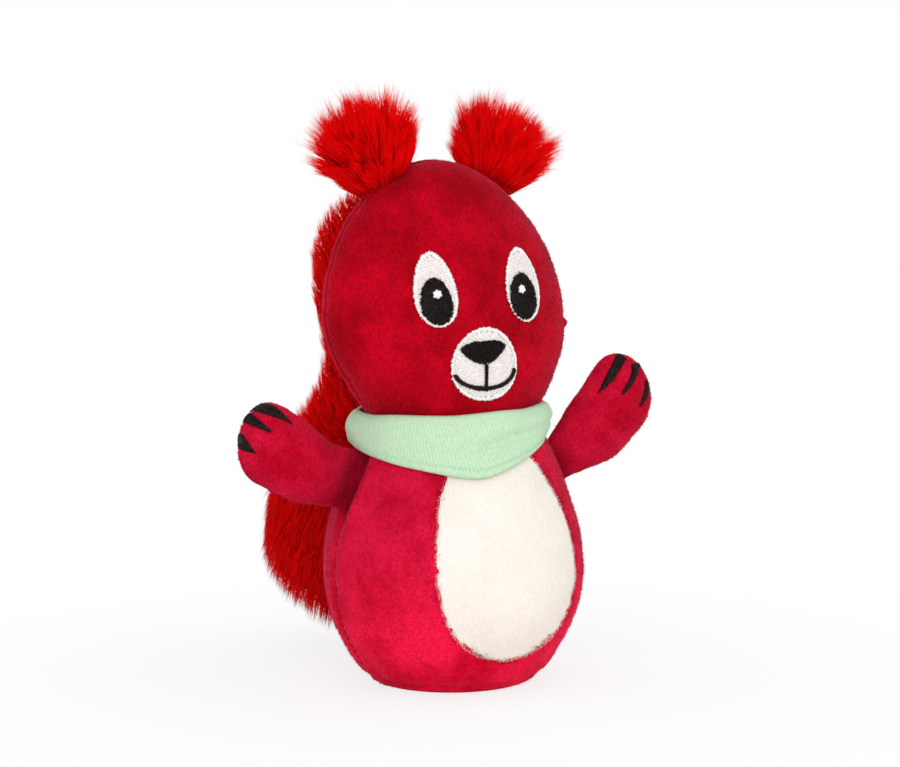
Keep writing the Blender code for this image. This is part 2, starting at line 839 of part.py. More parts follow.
def build():
    body_seat = new_cutter(
        "body seat", finish_mesh(body_form(SEAM_GAP, SKIN_SEGMENTS, BODY_RINGS, 0.002), "seat")
    )
    head_seat = new_cutter(
        "head seat", finish_mesh(head_form(SEAM_GAP, SKIN_SEGMENTS, HEAD_RINGS, 0.002), "seat")
    )
    build_body()
    build_head()
    build_face()
    scarf_seat = new_cutter("scarf seat", scarf_form(SEAM_GAP))
    build_arm(-1, "right", (body_seat, scarf_seat))
    build_arm(1, "left", (body_seat, scarf_seat))
    build_ear(-1, "right", head_seat)
    build_ear(1, "left", head_seat)
    build_tail((body_seat, head_seat, scarf_seat))
    build_scarf()


clear_scene()
toy = new_collection("plush_squirrel")
helpers = new_collection("cutters")
build()
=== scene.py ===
"""Dresses the plush squirrel: velour covers that are stuffed, fur, stitched face and claws, a knitted scarf.

Lengths are in metres in the part's own frame: the squirrel faces -Y, +Z is up, and its left is +X.
"""

import math

import bmesh
import bpy
import numpy as np
from bpy.props import FloatProperty, FloatVectorProperty, IntProperty, PointerProperty
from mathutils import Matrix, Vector, noise
from mathutils.bvhtree import BVHTree


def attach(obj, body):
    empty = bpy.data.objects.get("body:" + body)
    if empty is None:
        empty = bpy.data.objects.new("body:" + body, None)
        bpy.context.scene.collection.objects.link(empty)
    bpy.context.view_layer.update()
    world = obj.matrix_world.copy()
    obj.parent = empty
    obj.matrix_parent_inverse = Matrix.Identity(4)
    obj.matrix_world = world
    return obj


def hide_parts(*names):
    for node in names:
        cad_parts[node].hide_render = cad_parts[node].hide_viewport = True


bl_info = {
    "name": "Plush squirrel",
    "version": (1, 0, 0),
    "blender": (4, 5, 0),
    "location": "3D View > Sidebar > Plush squirrel",
    "description": "Covers, fur, stitching and scarf of a stuffed squirrel",
    "category": "Object",
}

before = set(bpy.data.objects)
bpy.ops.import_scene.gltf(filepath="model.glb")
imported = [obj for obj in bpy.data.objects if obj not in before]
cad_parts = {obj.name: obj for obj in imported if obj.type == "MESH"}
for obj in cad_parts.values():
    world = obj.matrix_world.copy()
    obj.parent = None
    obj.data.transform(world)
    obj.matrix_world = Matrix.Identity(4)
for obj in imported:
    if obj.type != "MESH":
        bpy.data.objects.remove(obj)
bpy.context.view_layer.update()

# The part's own named sizes, repeated from its source
BASE_HALF_WIDTH = 0.0255
BODY_HALF_WIDTH = 0.0443
BODY_HALF_DEPTH = 0.0420
BODY_WIDEST_HEIGHT = 0.0380
BASE_SEAM_HEIGHT = 0.0030
NECK_HEIGHT = 0.0860
NECK_HALF_WIDTH = 0.0285
NECK_HALF_DEPTH = 0.0260
BODY_PINCH = 1.04
HEAD_HEIGHT = 0.0862
HEAD_HALF_WIDTH = 0.0440
HEAD_HALF_DEPTH = 0.0262
HEAD_WIDEST_SHARE = 0.385
HEAD_LEAN = -0.075
HEAD_PINCH = 1.16
TUMMY_LOW = 0.0120
TUMMY_TOP = NECK_HEIGHT - 0.0010
TUMMY_HALF_WIDTH = 0.0256
TUMMY_OFFSET = 0.0014
TUMMY_TAPER = 0.30
SHOULDER_INSET = 0.0080
ARM_HALF_WIDTH = 0.0092
PAW_HALF_WIDTH = 0.0132
PAW_START = 0.50
ARM_HALF_THICKNESS = 0.0090
ARM_SAG = 0.0022
# Each arm's side, drop below the neck, rise and length
ARMS = {"left": (1, 0.0160, math.radians(43), 0.0465), "right": (-1, 0.0170, math.radians(22), 0.0425)}
# How the stuffed arms differ from their solids: share of the length, how far up, how much wider
ARM_FIT = {
    "right": (
        (0.0, 0.0002, 0.0022), (0.25, -0.0003, -0.0005), (0.45, 0.0010, -0.0010),
        (0.6, 0.0020, -0.0004), (0.75, 0.0025, 0.0), (1.0, 0.0030, 0.0),
    ),
    "left": (
        (0.0, -0.0010, -0.0008), (0.25, -0.0019, -0.0010), (0.45, -0.0023, 0.0),
        (0.6, -0.0020, 0.0004), (0.75, -0.0016, 0.0008), (1.0, -0.0008, 0.0006),
    ),
}
# How far before and behind the seam an arm's root reaches
ARM_ROOT_REACH = 0.30 * ARM_HALF_THICKNESS
# Where each paw is looked at from, and its middle
PAW_VIEWS = {
    "right": (math.radians(-23.2), math.radians(5.4), (-0.0724, -0.0040, 0.0875)),
    "left": (math.radians(-33.2), math.radians(4.0), (0.0662, -0.0040, 0.0985)),
}
# Tip, middle and wide end of each claw's line as seen from there, then its width at five places from tip to end
CLAWS = {
    "right": {
        "upper": ((0.0115, 0.0010), (0.0050, 0.0053), (-0.0012, 0.0067), (0.0002, 0.0022, 0.0036, 0.0037, 0.0024)),
        "middle": ((0.0046, -0.0012), (0.0005, 0.0014), (-0.0035, 0.0037), (0.0010, 0.0020, 0.0028, 0.0036, 0.0044)),
        "lower": ((0.0000, -0.0080), (-0.0031, -0.0058), (-0.0059, -0.0035), (0.0002, 0.0019, 0.0032, 0.0045, 0.0054)),
    },
    "left": {
        "upper": ((-0.0102, -0.0053), (-0.0062, 0.0002), (-0.0026, 0.0066), (0.0002, 0.0020, 0.0033, 0.0036, 0.0041)),
        "middle": ((-0.0020, -0.0054), (0.0012, -0.0009), (0.0026, 0.0042), (0.0010, 0.0019, 0.0022, 0.0024, 0.0033)),
        "lower": ((0.0039, -0.0099), (0.0060, -0.0060), (0.0063, -0.0014), (0.0003, 0.0014, 0.0019, 0.0017, 0.0008)),
    },
}
EAR_OFFSET = 0.0185
EAR_LENGTH = 0.0205
EAR_HALF_WIDTH = 0.0105
EAR_TOP_HALF_WIDTH = 0.0150
EAR_HALF_THICKNESS = 0.0095
EAR_SPLAY = math.radians(24)
TAIL_OFFSET = -0.0055
TAIL_LOW = 0.0160
TAIL_RISE = 0.0760
TAIL_SHAPE = (
    (0.00, 0.044, 0.0210),
    (0.08, 0.059, 0.0225),
    (0.18, 0.065, 0.0235),
    (0.29, 0.058, 0.0230),
    (0.45, 0.034, 0.0210),
    (0.58, 0.015, 0.0195),
    (0.73, 0.022, 0.0205),
    (0.86, 0.023, 0.0205),
    (1.00, 0.008, 0.0190),
)
TAIL_END_ROUNDING = 0.0210
SCARF_RISE = 0.0055
SCARF_SIDE_DROP = 0.0060
SCARF_POINT_DROP = 0.0138
SCARF_THICKNESS = 0.0032
SCARF_SHIFT = -0.0010
SCARF_EASE = 0.0012
SCARF_TILT = math.radians(2.5)
EYE_OFFSET = 0.0153
EYE_RISE = 0.0458
EYE_TILT = 0.0010
EYE_HALF_WIDTH = 0.0077
EYE_HALF_HEIGHT = 0.0124
PUPIL_HALF_WIDTH = 0.0058
PUPIL_HALF_HEIGHT = 0.0078
PUPIL_DROP = 0.0040
MUZZLE_OFFSET = -0.0013
MUZZLE_RISE = 0.0210
MUZZLE_HALF_WIDTH = 0.0126
MUZZLE_HALF_HEIGHT = 0.0121
NOSE_RISE = 0.0042
SMILE_HALF_WIDTH = 0.0108
SMILE_RISE = 0.0060
SMILE_DROP = 0.0085
BACKWARD = Vector((0, 1, 0))
TUMMY_MIDDLE = (TUMMY_OFFSET, (TUMMY_LOW + TUMMY_TOP) / 2)
TUMMY_HALF_HEIGHT = (TUMMY_TOP - TUMMY_LOW) / 2
# The nose's edge round its middle: two pointed sides, a bowed top and a blunt tip below
NOSE_EDGE = (
    (0.0085, 0.0018), (0.0067, 0.0034), (0.0036, 0.0040), (-0.0010, 0.0038), (-0.0048, 0.0034), (-0.0084, 0.0013),
    (-0.0065, -0.0013), (-0.0032, -0.0034), (0.0003, -0.0041), (0.0032, -0.0034), (0.0058, -0.0015),
)
# Covers start this much inside their solids, and the tummy ends this much under the neck
COVER_SHRINK = 0.0004
NECK_MARGIN = 0.0015
# How far along a stitch its rings stand
STITCH_SHARES = (0.18, 0.5, 0.82)
MAP_NAME = "OFBake"
CRIMSON, CRIMSON_UP, CREAM = "crimson polyester velour", "crimson velour with its nap up", "cream polyester velour"
WHITE, THIN_WHITE, BLACK = "white rayon thread", "white thread thinly filled", "black rayon thread"
PILE, BACKING = "scarlet acrylic long pile", "scarlet fur backing"


def linear(code):
    """An sRGB hex value as the linear colour that the shaders want."""
    parts = (int(code[i : i + 2], 16) / 255 for i in (0, 2, 4))
    return tuple(c / 12.92 if c <= 0.04045 else ((c + 0.055) / 1.055) ** 2.4 for c in parts)


def colour_setting(name, description, code):
    return FloatVectorProperty(
        name=name, description=description, subtype="COLOR", size=3, min=0, max=1, default=linear(code)
    )


def length_setting(name, description, metres):
    return FloatProperty(
        name=name, description=description, default=metres, min=0, unit="LENGTH", precision=5
    )


class SquirrelCloth(bpy.types.PropertyGroup):
    crimson: colour_setting("Crimson", "Velour of the body", "C81237")
    crimson_deep: colour_setting("Deep crimson", "The same velour brushed against its nap", "A80220")
    head_crimson: colour_setting("Head crimson", "Velour of the head, its nap the other way", "B2011B")
    head_crimson_deep: colour_setting("Deep head crimson", "The same brushed against its nap", "90000D")
    cream: colour_setting("Cream", "Velour of the tummy", "E0D9D1")
    mint: colour_setting("Mint", "Knitted jersey of the scarf", "B1CFAE")
    pile_length: length_setting("Velour pile", "How far the velour's pile stands up", 0.00062)
    stuffing_swell: length_setting("Swell", "The most that the stuffing pushes a cover out", 0.0012)
    pressure: FloatProperty(name="Stuffing pressure", description="Pressure of the stuffing", default=4, min=0)


class SquirrelFur(bpy.types.PropertyGroup):
    scarlet: colour_setting("Scarlet", "Tips of the long pile", "FA0104")
    scarlet_deep: colour_setting("Deep scarlet", "Roots of the long pile", "D20002")
    tail_pile: length_setting("Tail pile", "Length of the tail's hairs", 0.0105)
    ear_pile: length_setting("Ear pile", "Length of the ears' hairs", 0.0165)
    hair_width: length_setting("Hair width", "Width of a lock of hairs at its root", 0.00022)
    tail_hairs: IntProperty(name="Tail hairs", description="Locks on each side of the tail", default=14600, min=100)
    ear_hairs: IntProperty(name="Ear hairs", description="Locks on each ear", default=8300, min=100)


class SquirrelThread(bpy.types.PropertyGroup):
    white: colour_setting("White thread", "Embroidery of the eyes and muzzle", "EDEAE8")
    ground: colour_setting("Thin fill", "Velour that shows between white stitches", "EBD3D0")
    black: colour_setting("Black thread", "Embroidery of pupils, nose, smile and claws", "0B0706")
    width: length_setting("Thread width", "Width of one stitch", 0.00046)
    spacing: length_setting("Stitch spacing", "Distance between two stitches", 0.00040)
    height: length_setting("Stitch height", "How high a satin stitch bows over the cloth", 0.00030)
    fill_width: length_setting("Fill width", "Width of one fill stitch", 0.00034)
    fill_spacing: length_setting("Fill spacing", "Distance between two rows of fill stitches", 0.00030)


class SquirrelStage(bpy.types.PropertyGroup):
    azimuth: FloatProperty(
        name="Azimuth", description="Camera's turn from the front", default=math.radians(-28.5), subtype="ANGLE"
    )
    distance: length_setting("Distance", "Camera's level distance from the middle", 0.700)
    height: length_setting("Height", "Camera's height", 0.150)
    key: FloatProperty(name="Key light", description="Power of the main soft box", default=4.4, unit="POWER")
    fill: FloatProperty(name="Fill light", description="Power of the side soft box", default=3.4, unit="POWER")
    sky: FloatProperty(name="Sky", description="Strength of the even light all round", default=0.74, min=0)
    floor: colour_setting("Floor", "Pale floor", "F2F2F0")


def mix(low, high, share):
    return low + (high - low) * share


def smooth_step(low, high, at):
    share = min(max((at - low) / (high - low), 0), 1)
    return share * share * (3 - 2 * share)


def bell(off, width, power=2):
    """1 where off is 0, and fading away about that width from there."""
    return math.exp(-((off / width) ** power))


def pinched(sine, pinch):
    return math.copysign(abs(sine) ** pinch, sine)


def curve(before, start, end, after, share):
    """A smooth way from start to end that heeds its neighbours."""
    return 0.5 * (
        2 * start
        + (end - before) * share
        + (2 * before - 5 * start + 4 * end - after) * share**2
        + (3 * start - before - 3 * end + after) * share**3
    )


def smooth_read(table, at, column=1):
    last = len(table) - 1
    at = min(max(at, table[0][0]), table[last][0])
    step = next(i for i in range(last) if at <= table[i + 1][0] or i == last - 1)
    share = (at - table[step][0]) / (table[step + 1][0] - table[step][0])
    return curve(*(table[min(max(step + k, 0), last)][column] for k in (-1, 0, 1, 2)), share)


def ripple(point, size, seed=0.0):
    """Smooth noise from -1 to 1 whose lumps are about that size across."""
    return noise.noise(Vector(point) / size + Vector((seed, seed * 1.7, -seed)))


# Forms, as in the part's source


def body_half_sizes(height):
    if height < BODY_WIDEST_HEIGHT:
        full = math.sin(max(height, 0) / BODY_WIDEST_HEIGHT * math.pi / 2) ** 0.7
        base_half_depth = BASE_HALF_WIDTH * BODY_HALF_DEPTH / BODY_HALF_WIDTH
        return mix(BASE_HALF_WIDTH, BODY_HALF_WIDTH, full), mix(base_half_depth, BODY_HALF_DEPTH, full)
    above = (height - BODY_WIDEST_HEIGHT) / (NECK_HEIGHT - BODY_WIDEST_HEIGHT)
    full = math.cos(min(above, 1) * math.pi / 2)
    return mix(NECK_HALF_WIDTH, BODY_HALF_WIDTH, full), mix(NECK_HALF_DEPTH, BODY_HALF_DEPTH, full)


def head_profile(share):
    neck = NECK_HALF_WIDTH / HEAD_HALF_WIDTH
    if share < HEAD_WIDEST_SHARE:
        return mix(neck, 1, math.cos((1 - share / HEAD_WIDEST_SHARE) * math.pi / 2) ** 1.15)
    above = (share - HEAD_WIDEST_SHARE) / (1 - HEAD_WIDEST_SHARE)
    return max(1 - above**1.95, 0) ** 0.53


def head_half_depth(share):
    if share < HEAD_WIDEST_SHARE:
        return mix(NECK_HALF_DEPTH, HEAD_HALF_DEPTH, share / HEAD_WIDEST_SHARE)
    return HEAD_HALF_DEPTH * head_profile(share) ** 0.8


def head_lean(height):
    return HEAD_LEAN * (height - NECK_HEIGHT)


def crown_height(across):
    low, high = HEAD_WIDEST_SHARE, 1.0
    for _ in range(40):
        share = (low + high) / 2
        low, high = (share, high) if head_profile(share) * HEAD_HALF_WIDTH > across else (low, share)
    return NECK_HEIGHT + low * HEAD_HEIGHT


def arm_axes(name):
    side, drop, angle, length = ARMS[name]
    high = NECK_HEIGHT - drop
    root = Vector((side * body_half_sizes(high)[0], 0, high))
    out = Vector((side * math.cos(angle), 0, math.sin(angle)))
    return root, out, Vector((-side * out.z, 0, side * out.x)), length


def back_depth(height):
    if height < NECK_HEIGHT:
        return body_half_sizes(height)[1]
    return head_half_depth(min((height - NECK_HEIGHT) / HEAD_HEIGHT, 1))


def ear_axes(side):
    crown = crown_height(EAR_OFFSET)
    foot = Vector((side * EAR_OFFSET + head_lean(crown), 0, crown - 0.004))
    splay = side * EAR_SPLAY + math.atan(HEAD_LEAN)
    up = Vector((math.sin(splay), 0, math.cos(splay)))
    return foot, up, Vector((up.z, 0, -up.x))


# Making meshes


def steady_order(piece):
    """Sorts a ball's faces and edges, which come in another order each time, so that each run gives the same."""
    shape = bmesh.new()
    shape.from_mesh(piece.data)

    def number(part):
        total = 0
        for index in sorted(vert.index for vert in part.verts):
            total = total * 10000 + index
        return total

    for parts in (shape.faces, shape.edges):
        parts.sort(key=number)
    shape.to_mesh(piece.data)
    shape.free()


def rounded_form(name, segments, rings, place, seam_crowding=0.0):
    """A ball primitive whose points move to place(share, turn); rings crowd towards the side seams."""
    bpy.ops.object.select_all(action="DESELECT")
    bpy.ops.mesh.primitive_uv_sphere_add(segments=segments, ring_count=rings, radius=1)
    piece = bpy.context.active_object
    piece.name = piece.data.name = name
    steady_order(piece)
    for vert in piece.data.vertices:
        share = math.acos(min(max(-vert.co.z, -1), 1)) / math.pi
        turn = math.atan2(vert.co.y, vert.co.x)
        turn -= seam_crowding * math.sin(2 * turn) / 2
        vert.co = place(share, turn)
    face_outwards(piece)
    return piece


def face_outwards(piece):
    """Turns a closed piece's faces outwards, and removes its loose points."""
    shape = bmesh.new()
    shape.from_mesh(piece.data)
    bmesh.ops.delete(shape, geom=[v for v in shape.verts if not v.link_faces], context="VERTS")
    bmesh.ops.recalc_face_normals(shape, faces=shape.faces)
    shape.to_mesh(piece.data)
    shape.free()


def apply_modifier(piece, name):
    bpy.ops.object.select_all(action="DESELECT")
    piece.select_set(True)
    bpy.context.view_layer.objects.active = piece
    bpy.ops.object.modifier_apply(modifier=name)


def points_of(piece, kind="co"):
    flat = np.empty(len(piece.data.vertices) * 3)
    piece.data.vertices.foreach_get(kind, flat)
    return flat.reshape(-1, 3)


def set_points(piece, points):
    piece.data.vertices.foreach_set("co", np.ascontiguousarray(points, dtype=np.float32).ravel())
    piece.data.update()


def stuff(piece, swell, pressure, held):
    """Fills a cover: the cloth swells under the stuffing's pressure, and the held points stay at their seams."""
    before = points_of(piece)
    group = piece.vertex_groups.new(name="seams")
    for index, point in enumerate(before):
        weight = held(point)
        if weight > 0:
            group.add([index], weight, "REPLACE")
    cloth = piece.modifiers.new("stuffing", "CLOTH")
    cloth.settings.quality = 4
    cloth.settings.mass = 0.2
    cloth.settings.use_pressure = True
    cloth.settings.uniform_pressure_force = pressure
    cloth.settings.tension_stiffness = 25
    cloth.settings.compression_stiffness = 25
    cloth.settings.bending_stiffness = 0.4
    cloth.settings.vertex_group_mass = "seams"
    cloth.settings.effector_weights.gravity = 0
    cloth.collision_settings.use_collision = False
    cloth.point_cache.frame_start, cloth.point_cache.frame_end = 1, 16
    for step in range(1, 17):
        bpy.context.scene.frame_set(step)
    apply_modifier(piece, "stuffing")
    moved = points_of(piece) - before
    far = np.linalg.norm(moved, axis=1, keepdims=True)
    set_points(piece, before + moved * np.minimum(1, swell / np.maximum(far, 1e-9)))
    bpy.context.scene.frame_set(1)
    smooth = piece.modifiers.new("smooth", "SUBSURF")
    smooth.levels = smooth.render_levels = 1
    apply_modifier(piece, "smooth")


def push(piece, amount):
    """Moves each point of a cover along its normal by amount(point)."""
    points = points_of(piece)
    moves = np.array([amount(Vector(point)) for point in points])
    set_points(piece, points + points_of(piece, "normal") * moves[:, None])


def mesh_of(name, points, triangles, uv=None):
    """A piece from arrays of points and triangles, with a place on the map for each corner if given."""
    mesh = bpy.data.meshes.new(name)
    points = np.asarray(points, np.float32).reshape(-1, 3)
    triangles = np.asarray(triangles, np.int32).reshape(-1, 3)
    mesh.vertices.add(len(points))
    mesh.vertices.foreach_set("co", points.ravel())
    mesh.loops.add(triangles.size)
    mesh.loops.foreach_set("vertex_index", triangles.ravel())
    mesh.polygons.add(len(triangles))
    mesh.polygons.foreach_set("loop_start", np.arange(0, triangles.size, 3, dtype=np.int32))
    mesh.polygons.foreach_set("loop_total", np.full(len(triangles), 3, dtype=np.int32))
    mesh.update(calc_edges=True)
    if uv is not None:
        layer = mesh.uv_layers.new(name=MAP_NAME)
        layer.uv.foreach_set("vector", np.asarray(uv, np.float32)[triangles.ravel()].ravel())
    mesh.polygons.foreach_set("use_smooth", np.ones(len(triangles), dtype=bool))
    piece = bpy.data.objects.new(name, mesh)
    bpy.context.scene.collection.objects.link(piece)
    return piece


def scatter(piece, count, seed, keep=None):
    """Points spread evenly over a piece, and the way its surface faces there."""
    mesh = piece.data
    mesh.calc_loop_triangles()
    corners = np.empty(len(mesh.loop_triangles) * 3, np.int32)
    mesh.loop_triangles.foreach_get("vertices", corners)
    corners = corners.reshape(-1, 3)
    points, normals = points_of(piece), points_of(piece, "normal")
    if keep is not None:
        middle = points[corners].mean(axis=1)
        corners = corners[np.array([keep(Vector(m)) for m in middle])]
    a, b, c = (points[corners[:, k]] for k in range(3))
    area = np.linalg.norm(np.cross(b - a, c - a), axis=1)
    random = np.random.default_rng(seed)
    chosen = random.choice(len(corners), size=count, p=area / area.sum())
    u, v = random.random(count), random.random(count)
    over = u + v > 1
    u[over], v[over] = 1 - u[over], 1 - v[over]
    weights = np.stack([1 - u - v, u, v], 1)[:, :, None]
    at = (points[corners[chosen]] * weights).sum(axis=1)
    facing = (normals[corners[chosen]] * weights).sum(axis=1)
    return at, facing / np.linalg.norm(facing, axis=1, keepdims=True)


def unit(rows):
    return rows / np.maximum(np.linalg.norm(rows, axis=1, keepdims=True), 1e-12)


def fields(points, size, seed):
    """Three smooth random numbers from -1 to 1 at each point, alike within about that size."""
    # Without a seed these would follow the clock
    noise.seed_set(1)
    offset = Vector((seed * 3.1, seed * 1.3, seed * 2.7))
    return np.array([noise.noise_vector(Vector(p) / size + offset) for p in points])


def across_each(run, random):
    """Two ways across each row of a run, the first of them at random."""
    side = unit(np.cross(run, random.normal(size=run.shape)))
    return side, unit(np.cross(run, side))


def repeated(name, rows, pattern, places):
    """A piece from one small shape many times over: its rows of points, its pattern of triangles, its map."""
    first = np.arange(rows[0].shape[0])[:, None, None] * len(rows)
    points, places = np.stack(rows, 1), np.stack(places, 1)
    return mesh_of(name, points.reshape(-1, 3), first + np.array(pattern)[None], places.reshape(-1, 2))


def hairs(name, roots, middles, tips, width, rings, seed):
    """Tapering three-sided hairs, each a closed shape that bends from root to tip, with its own column of the map."""
    count = len(roots)
    random = np.random.default_rng(seed)
    side, other = across_each(tips - roots, random)
    column = random.random(count) * 0.985
    points, places = [], []
    for ring in range(rings):
        s = ring / rings
        centre = (1 - s) ** 2 * roots + 2 * s * (1 - s) * middles + s * s * tips
        half = width / 2 * (1 - 0.75 * s**1.5)
        for corner in range(3):
            angle = 2 * math.pi * corner / 3
            points.append(centre + (side * math.cos(angle) + other * math.sin(angle)) * half[:, None])
            places.append(np.stack([column + 0.005 * corner, np.full(count, 0.01 + 0.98 * s)], 1))
    points.append(tips)
    places.append(np.stack([column + 0.005, np.full(count, 0.99)], 1))
    pattern = [(0, 2, 1)]
    for ring in range(rings - 1):
        for corner in range(3):
            a, b = 3 * ring + corner, 3 * ring + (corner + 1) % 3
            pattern += [(a, b, b + 3), (a, b + 3, a + 3)]
    last = 3 * (rings - 1)
    pattern += [(last + k, last + (k + 1) % 3, last + 3) for k in range(3)]
    dress(repeated(name, points, pattern, places), PILE)


def velour_pile(name, piece, count, length, seed, finish, keep):
    """The velour's short pile: closed spikes that lie with the nap and curl in small patches."""
    roots, facing = scatter(piece, count, seed, keep)
    curl = fields(roots, 0.0022, seed) * 0.75 + fields(roots, 0.011, seed + 5) * 0.45
    lean = facing + curl + np.array((0, 0, -0.35))
    random = np.random.default_rng(seed + 1)
    tall = length * (0.6 + 0.6 * random.random(len(roots)))
    tips = roots + unit(lean) * tall[:, None]
    roots = roots - facing * 0.0002
    side, other = across_each(tips - roots, random)
    thirds = (0, 2 * math.pi / 3, 4 * math.pi / 3)
    corners = [roots + (side * math.cos(a) + other * math.sin(a)) * 0.00013 for a in thirds]
    low, high = roots.min(axis=0), roots.max(axis=0)
    middle = (low + high) / 2
    turn = np.arctan2(roots[:, 1] - middle[1], roots[:, 0] - middle[0]) / (2 * math.pi) + 0.5
    place = np.stack([turn, (roots[:, 2] - low[2]) / (high[2] - low[2])], 1) * 0.99
    places = [place + np.array(nudge) for nudge in ((0, 0), (0.004, 0), (0, 0.004), (0.004, 0.004))]
    dress(repeated(name, [*corners, tips], [(0, 2, 1), (0, 1, 3), (1, 2, 3), (2, 0, 3)], places), finish)


def paint_crease_shade(piece, share):
    """Marks painted shade at each point, from 0 to 1, for the crease where an arm is sewn to the body."""
    marks = piece.data.attributes.new("painted_crease_shade", "FLOAT", "POINT")
    marks.data.foreach_set("value", [share(Vector(p)) for p in points_of(piece)])


def dress(piece, finish, nodes=()):
    """Finishes a piece: its material, its body, and the nodes it stands for."""
    faces = piece.data.polygons
    faces.foreach_set("use_smooth", np.ones(len(faces), dtype=bool))
    piece.data.materials.clear()
    piece.data.materials.append(material(finish))
    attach(piece, "root")
    if nodes:
        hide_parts(*nodes)


# Materials


def feed(node, inputs):
    """Fills a node's inputs, by name or in order, each with a value or from another node's output."""
    for key, value in inputs.items() if isinstance(inputs, dict) else enumerate(inputs):
        if isinstance(value, bpy.types.NodeSocket):
            node.id_data.links.new(value, node.inputs[key])
        else:
            node.inputs[key].default_value = value


def add_node(tree, kind, inputs=(), output=0, **settings):
    """Adds a node with its settings and inputs, and gives the output that is asked for."""
    made = tree.nodes.new(f"ShaderNode{kind}")
    for name, value in settings.items():
        setattr(made, name, value)
    feed(made, inputs)
    return made.outputs[output]


def opaque(colour):
    return (*colour, 1.0)


def end_finish(shader, colour, tone, surface, bump=None):
    """Ends a finish: its colour times its tone, the shader's values, and the height, strength and depth of its bump."""
    tree = shader.id_data
    shaded = add_node(tree, "VectorMath", {"Vector": colour, "Scale": tone}, operation="SCALE")
    names = ("Roughness", "Specular IOR Level", "Sheen Weight", "Sheen Roughness", "Sheen Tint")
    feed(shader, {"Base Color": shaded, **dict(zip(names, surface))})
    if bump:
        normal = add_node(tree, "Bump", dict(zip(("Height", "Strength", "Distance"), bump)))
        feed(shader, {"Normal": normal})


def velour(tree, shader, plain, deep, pale_sheen, contrast=1.0, painted_bounce_light=0.0):
    """Polyester velour, warp knitted and sheared: its short upright pile looks matt and dark straight on, a little
    paler at a grazing angle, with darker patches where a hand brushed it against the nap."""
    place = add_node(tree, "TexCoord", output="Object")
    # Brushed patches are 15 to 25 mm across, and smaller marks in them 3 to 5 mm
    patches = add_node(tree, "TexNoise", {"Vector": place, "Scale": 52.0, "Detail": 4.0, "Roughness": 0.62})
    # The pile's curls are 0.6 to 0.9 mm across, and a little drawn out along the knit's upright wales
    level = add_node(tree, "Mapping", {"Vector": place, "Scale": (1.0, 1.0, 0.78)})
    curl = {"Vector": level, "Scale": 1350.0, "Detail": 2.0, "Roughness": 0.5, "Distortion": 0.6}
    curls = add_node(tree, "TexNoise", curl)
    brushed = add_node(tree, "MapRange", (patches, 0.38, 0.62, 0.0, 1.0))
    colours = {"Factor": brushed, "A": opaque(deep), "B": opaque(plain)}
    tone = add_node(tree, "Mix", colours, "Result", data_type="RGBA")
    grain = add_node(tree, "MapRange", (curls, 0.3, 0.7, 1 - 0.24 * contrast, 1 + 0.14 * contrast))
    # Painted light: the velour is drawn paler towards the toy's foot, standing in for light bounced up from the floor
    rise = add_node(tree, "SeparateXYZ", (place,), "Z")
    foot = (rise, 0.012, 0.055, 1 + painted_bounce_light, 1.0)
    painted_bounce_tone = add_node(tree, "MapRange", foot, interpolation_type="SMOOTHSTEP")
    lighter = add_node(tree, "Math", (grain, painted_bounce_tone), operation="MULTIPLY")
    # Painted shade: the velour is up to 55 % darker in the crease where an arm is sewn to the body
    crease_shade_mark = add_node(tree, "Attribute", output="Fac", attribute_name="painted_crease_shade")
    ground = add_node(tree, "Math", (crease_shade_mark, -0.55, 1.0), operation="MULTIPLY_ADD")
    lighter = add_node(tree, "Math", (lighter, ground), operation="MULTIPLY")
    tint = (1.0, 0.13, 0.26) if deep[0] > 3 * deep[1] else (1.0, 0.98, 0.95)
    surface = (0.9, 0.04, pale_sheen, 0.35, opaque(tint))
    end_finish(shader, tone, lighter, surface, (curls, 0.5 * contrast, 0.0006))


def long_pile(tree, shader, tip, root):
    """Acrylic long-pile fur, knitted and brushed: the hairs are glossy, darker at the root, each a little different."""
    place = add_node(tree, "UVMap", uv_map=MAP_NAME)
    column = add_node(tree, "SeparateXYZ", (place,))
    # Along a hair: dark for its first third, where its neighbours shade it
    rise = (column.node.outputs["Y"], 0.05, 0.75, 0.0, 1.0)
    along = add_node(tree, "MapRange", rise, interpolation_type="SMOOTHSTEP")
    colours = {"Factor": along, "A": opaque(root), "B": opaque(tip)}
    tone = add_node(tree, "Mix", colours, "Result", data_type="RGBA")
    # From hair to hair: a slow wave in the column number keeps neighbours in the map alike
    each = add_node(tree, "TexNoise", {"W": column, "Scale": 22.0, "Detail": 1.0}, "Fac", noise_dimensions="1D")
    lift = add_node(tree, "MapRange", (each, 0.3, 0.7, 0.62, 1.22))
    end_finish(shader, tone, lift, (0.55, 0.03, 0.03, 0.4, (1.0, 0.2, 0.2, 1.0)))


def fur_backing(tree, shader, colour):
    """The knitted backing under long-pile fur: dark, because little light gets down to it."""
    place = add_node(tree, "TexCoord", output="Object")
    clumps = add_node(tree, "TexNoise", {"Vector": place, "Scale": 420.0, "Detail": 3.0, "Roughness": 0.6})
    tone = add_node(tree, "MapRange", (clumps, 0.3, 0.7, 0.5, 1.1))
    end_finish(shader, colour, tone, (0.85, 0.05), (clumps, 0.8, 0.001))


def rayon_thread(tree, shader, colour, gloss, flecks_and_highlights=(0.86, 1.06), twists=1700.0):
    """Rayon embroidery thread, two-ply and machine stitched: silky, with a fine twist and slightly uneven tension.
    Its flecks are the darkest and the palest of the twist against its colour; on black thread the pale ones, up to 5.5
    times its colour, are painted highlights of its gloss."""
    place = add_node(tree, "TexCoord", output="Object")
    # The twist of the plies repeats each 0.4 mm. It is drawn at 0.6 mm so that it shows, and at 1 mm on black
    twist = add_node(tree, "TexNoise", {"Vector": place, "Scale": twists, "Detail": 2.0, "Roughness": 0.55})
    tone = add_node(tree, "MapRange", (twist, 0.34, 0.70, *flecks_and_highlights))
    end_finish(shader, colour, tone, (gloss, 0.10, 0.01), (twist, 0.4, 0.0002))


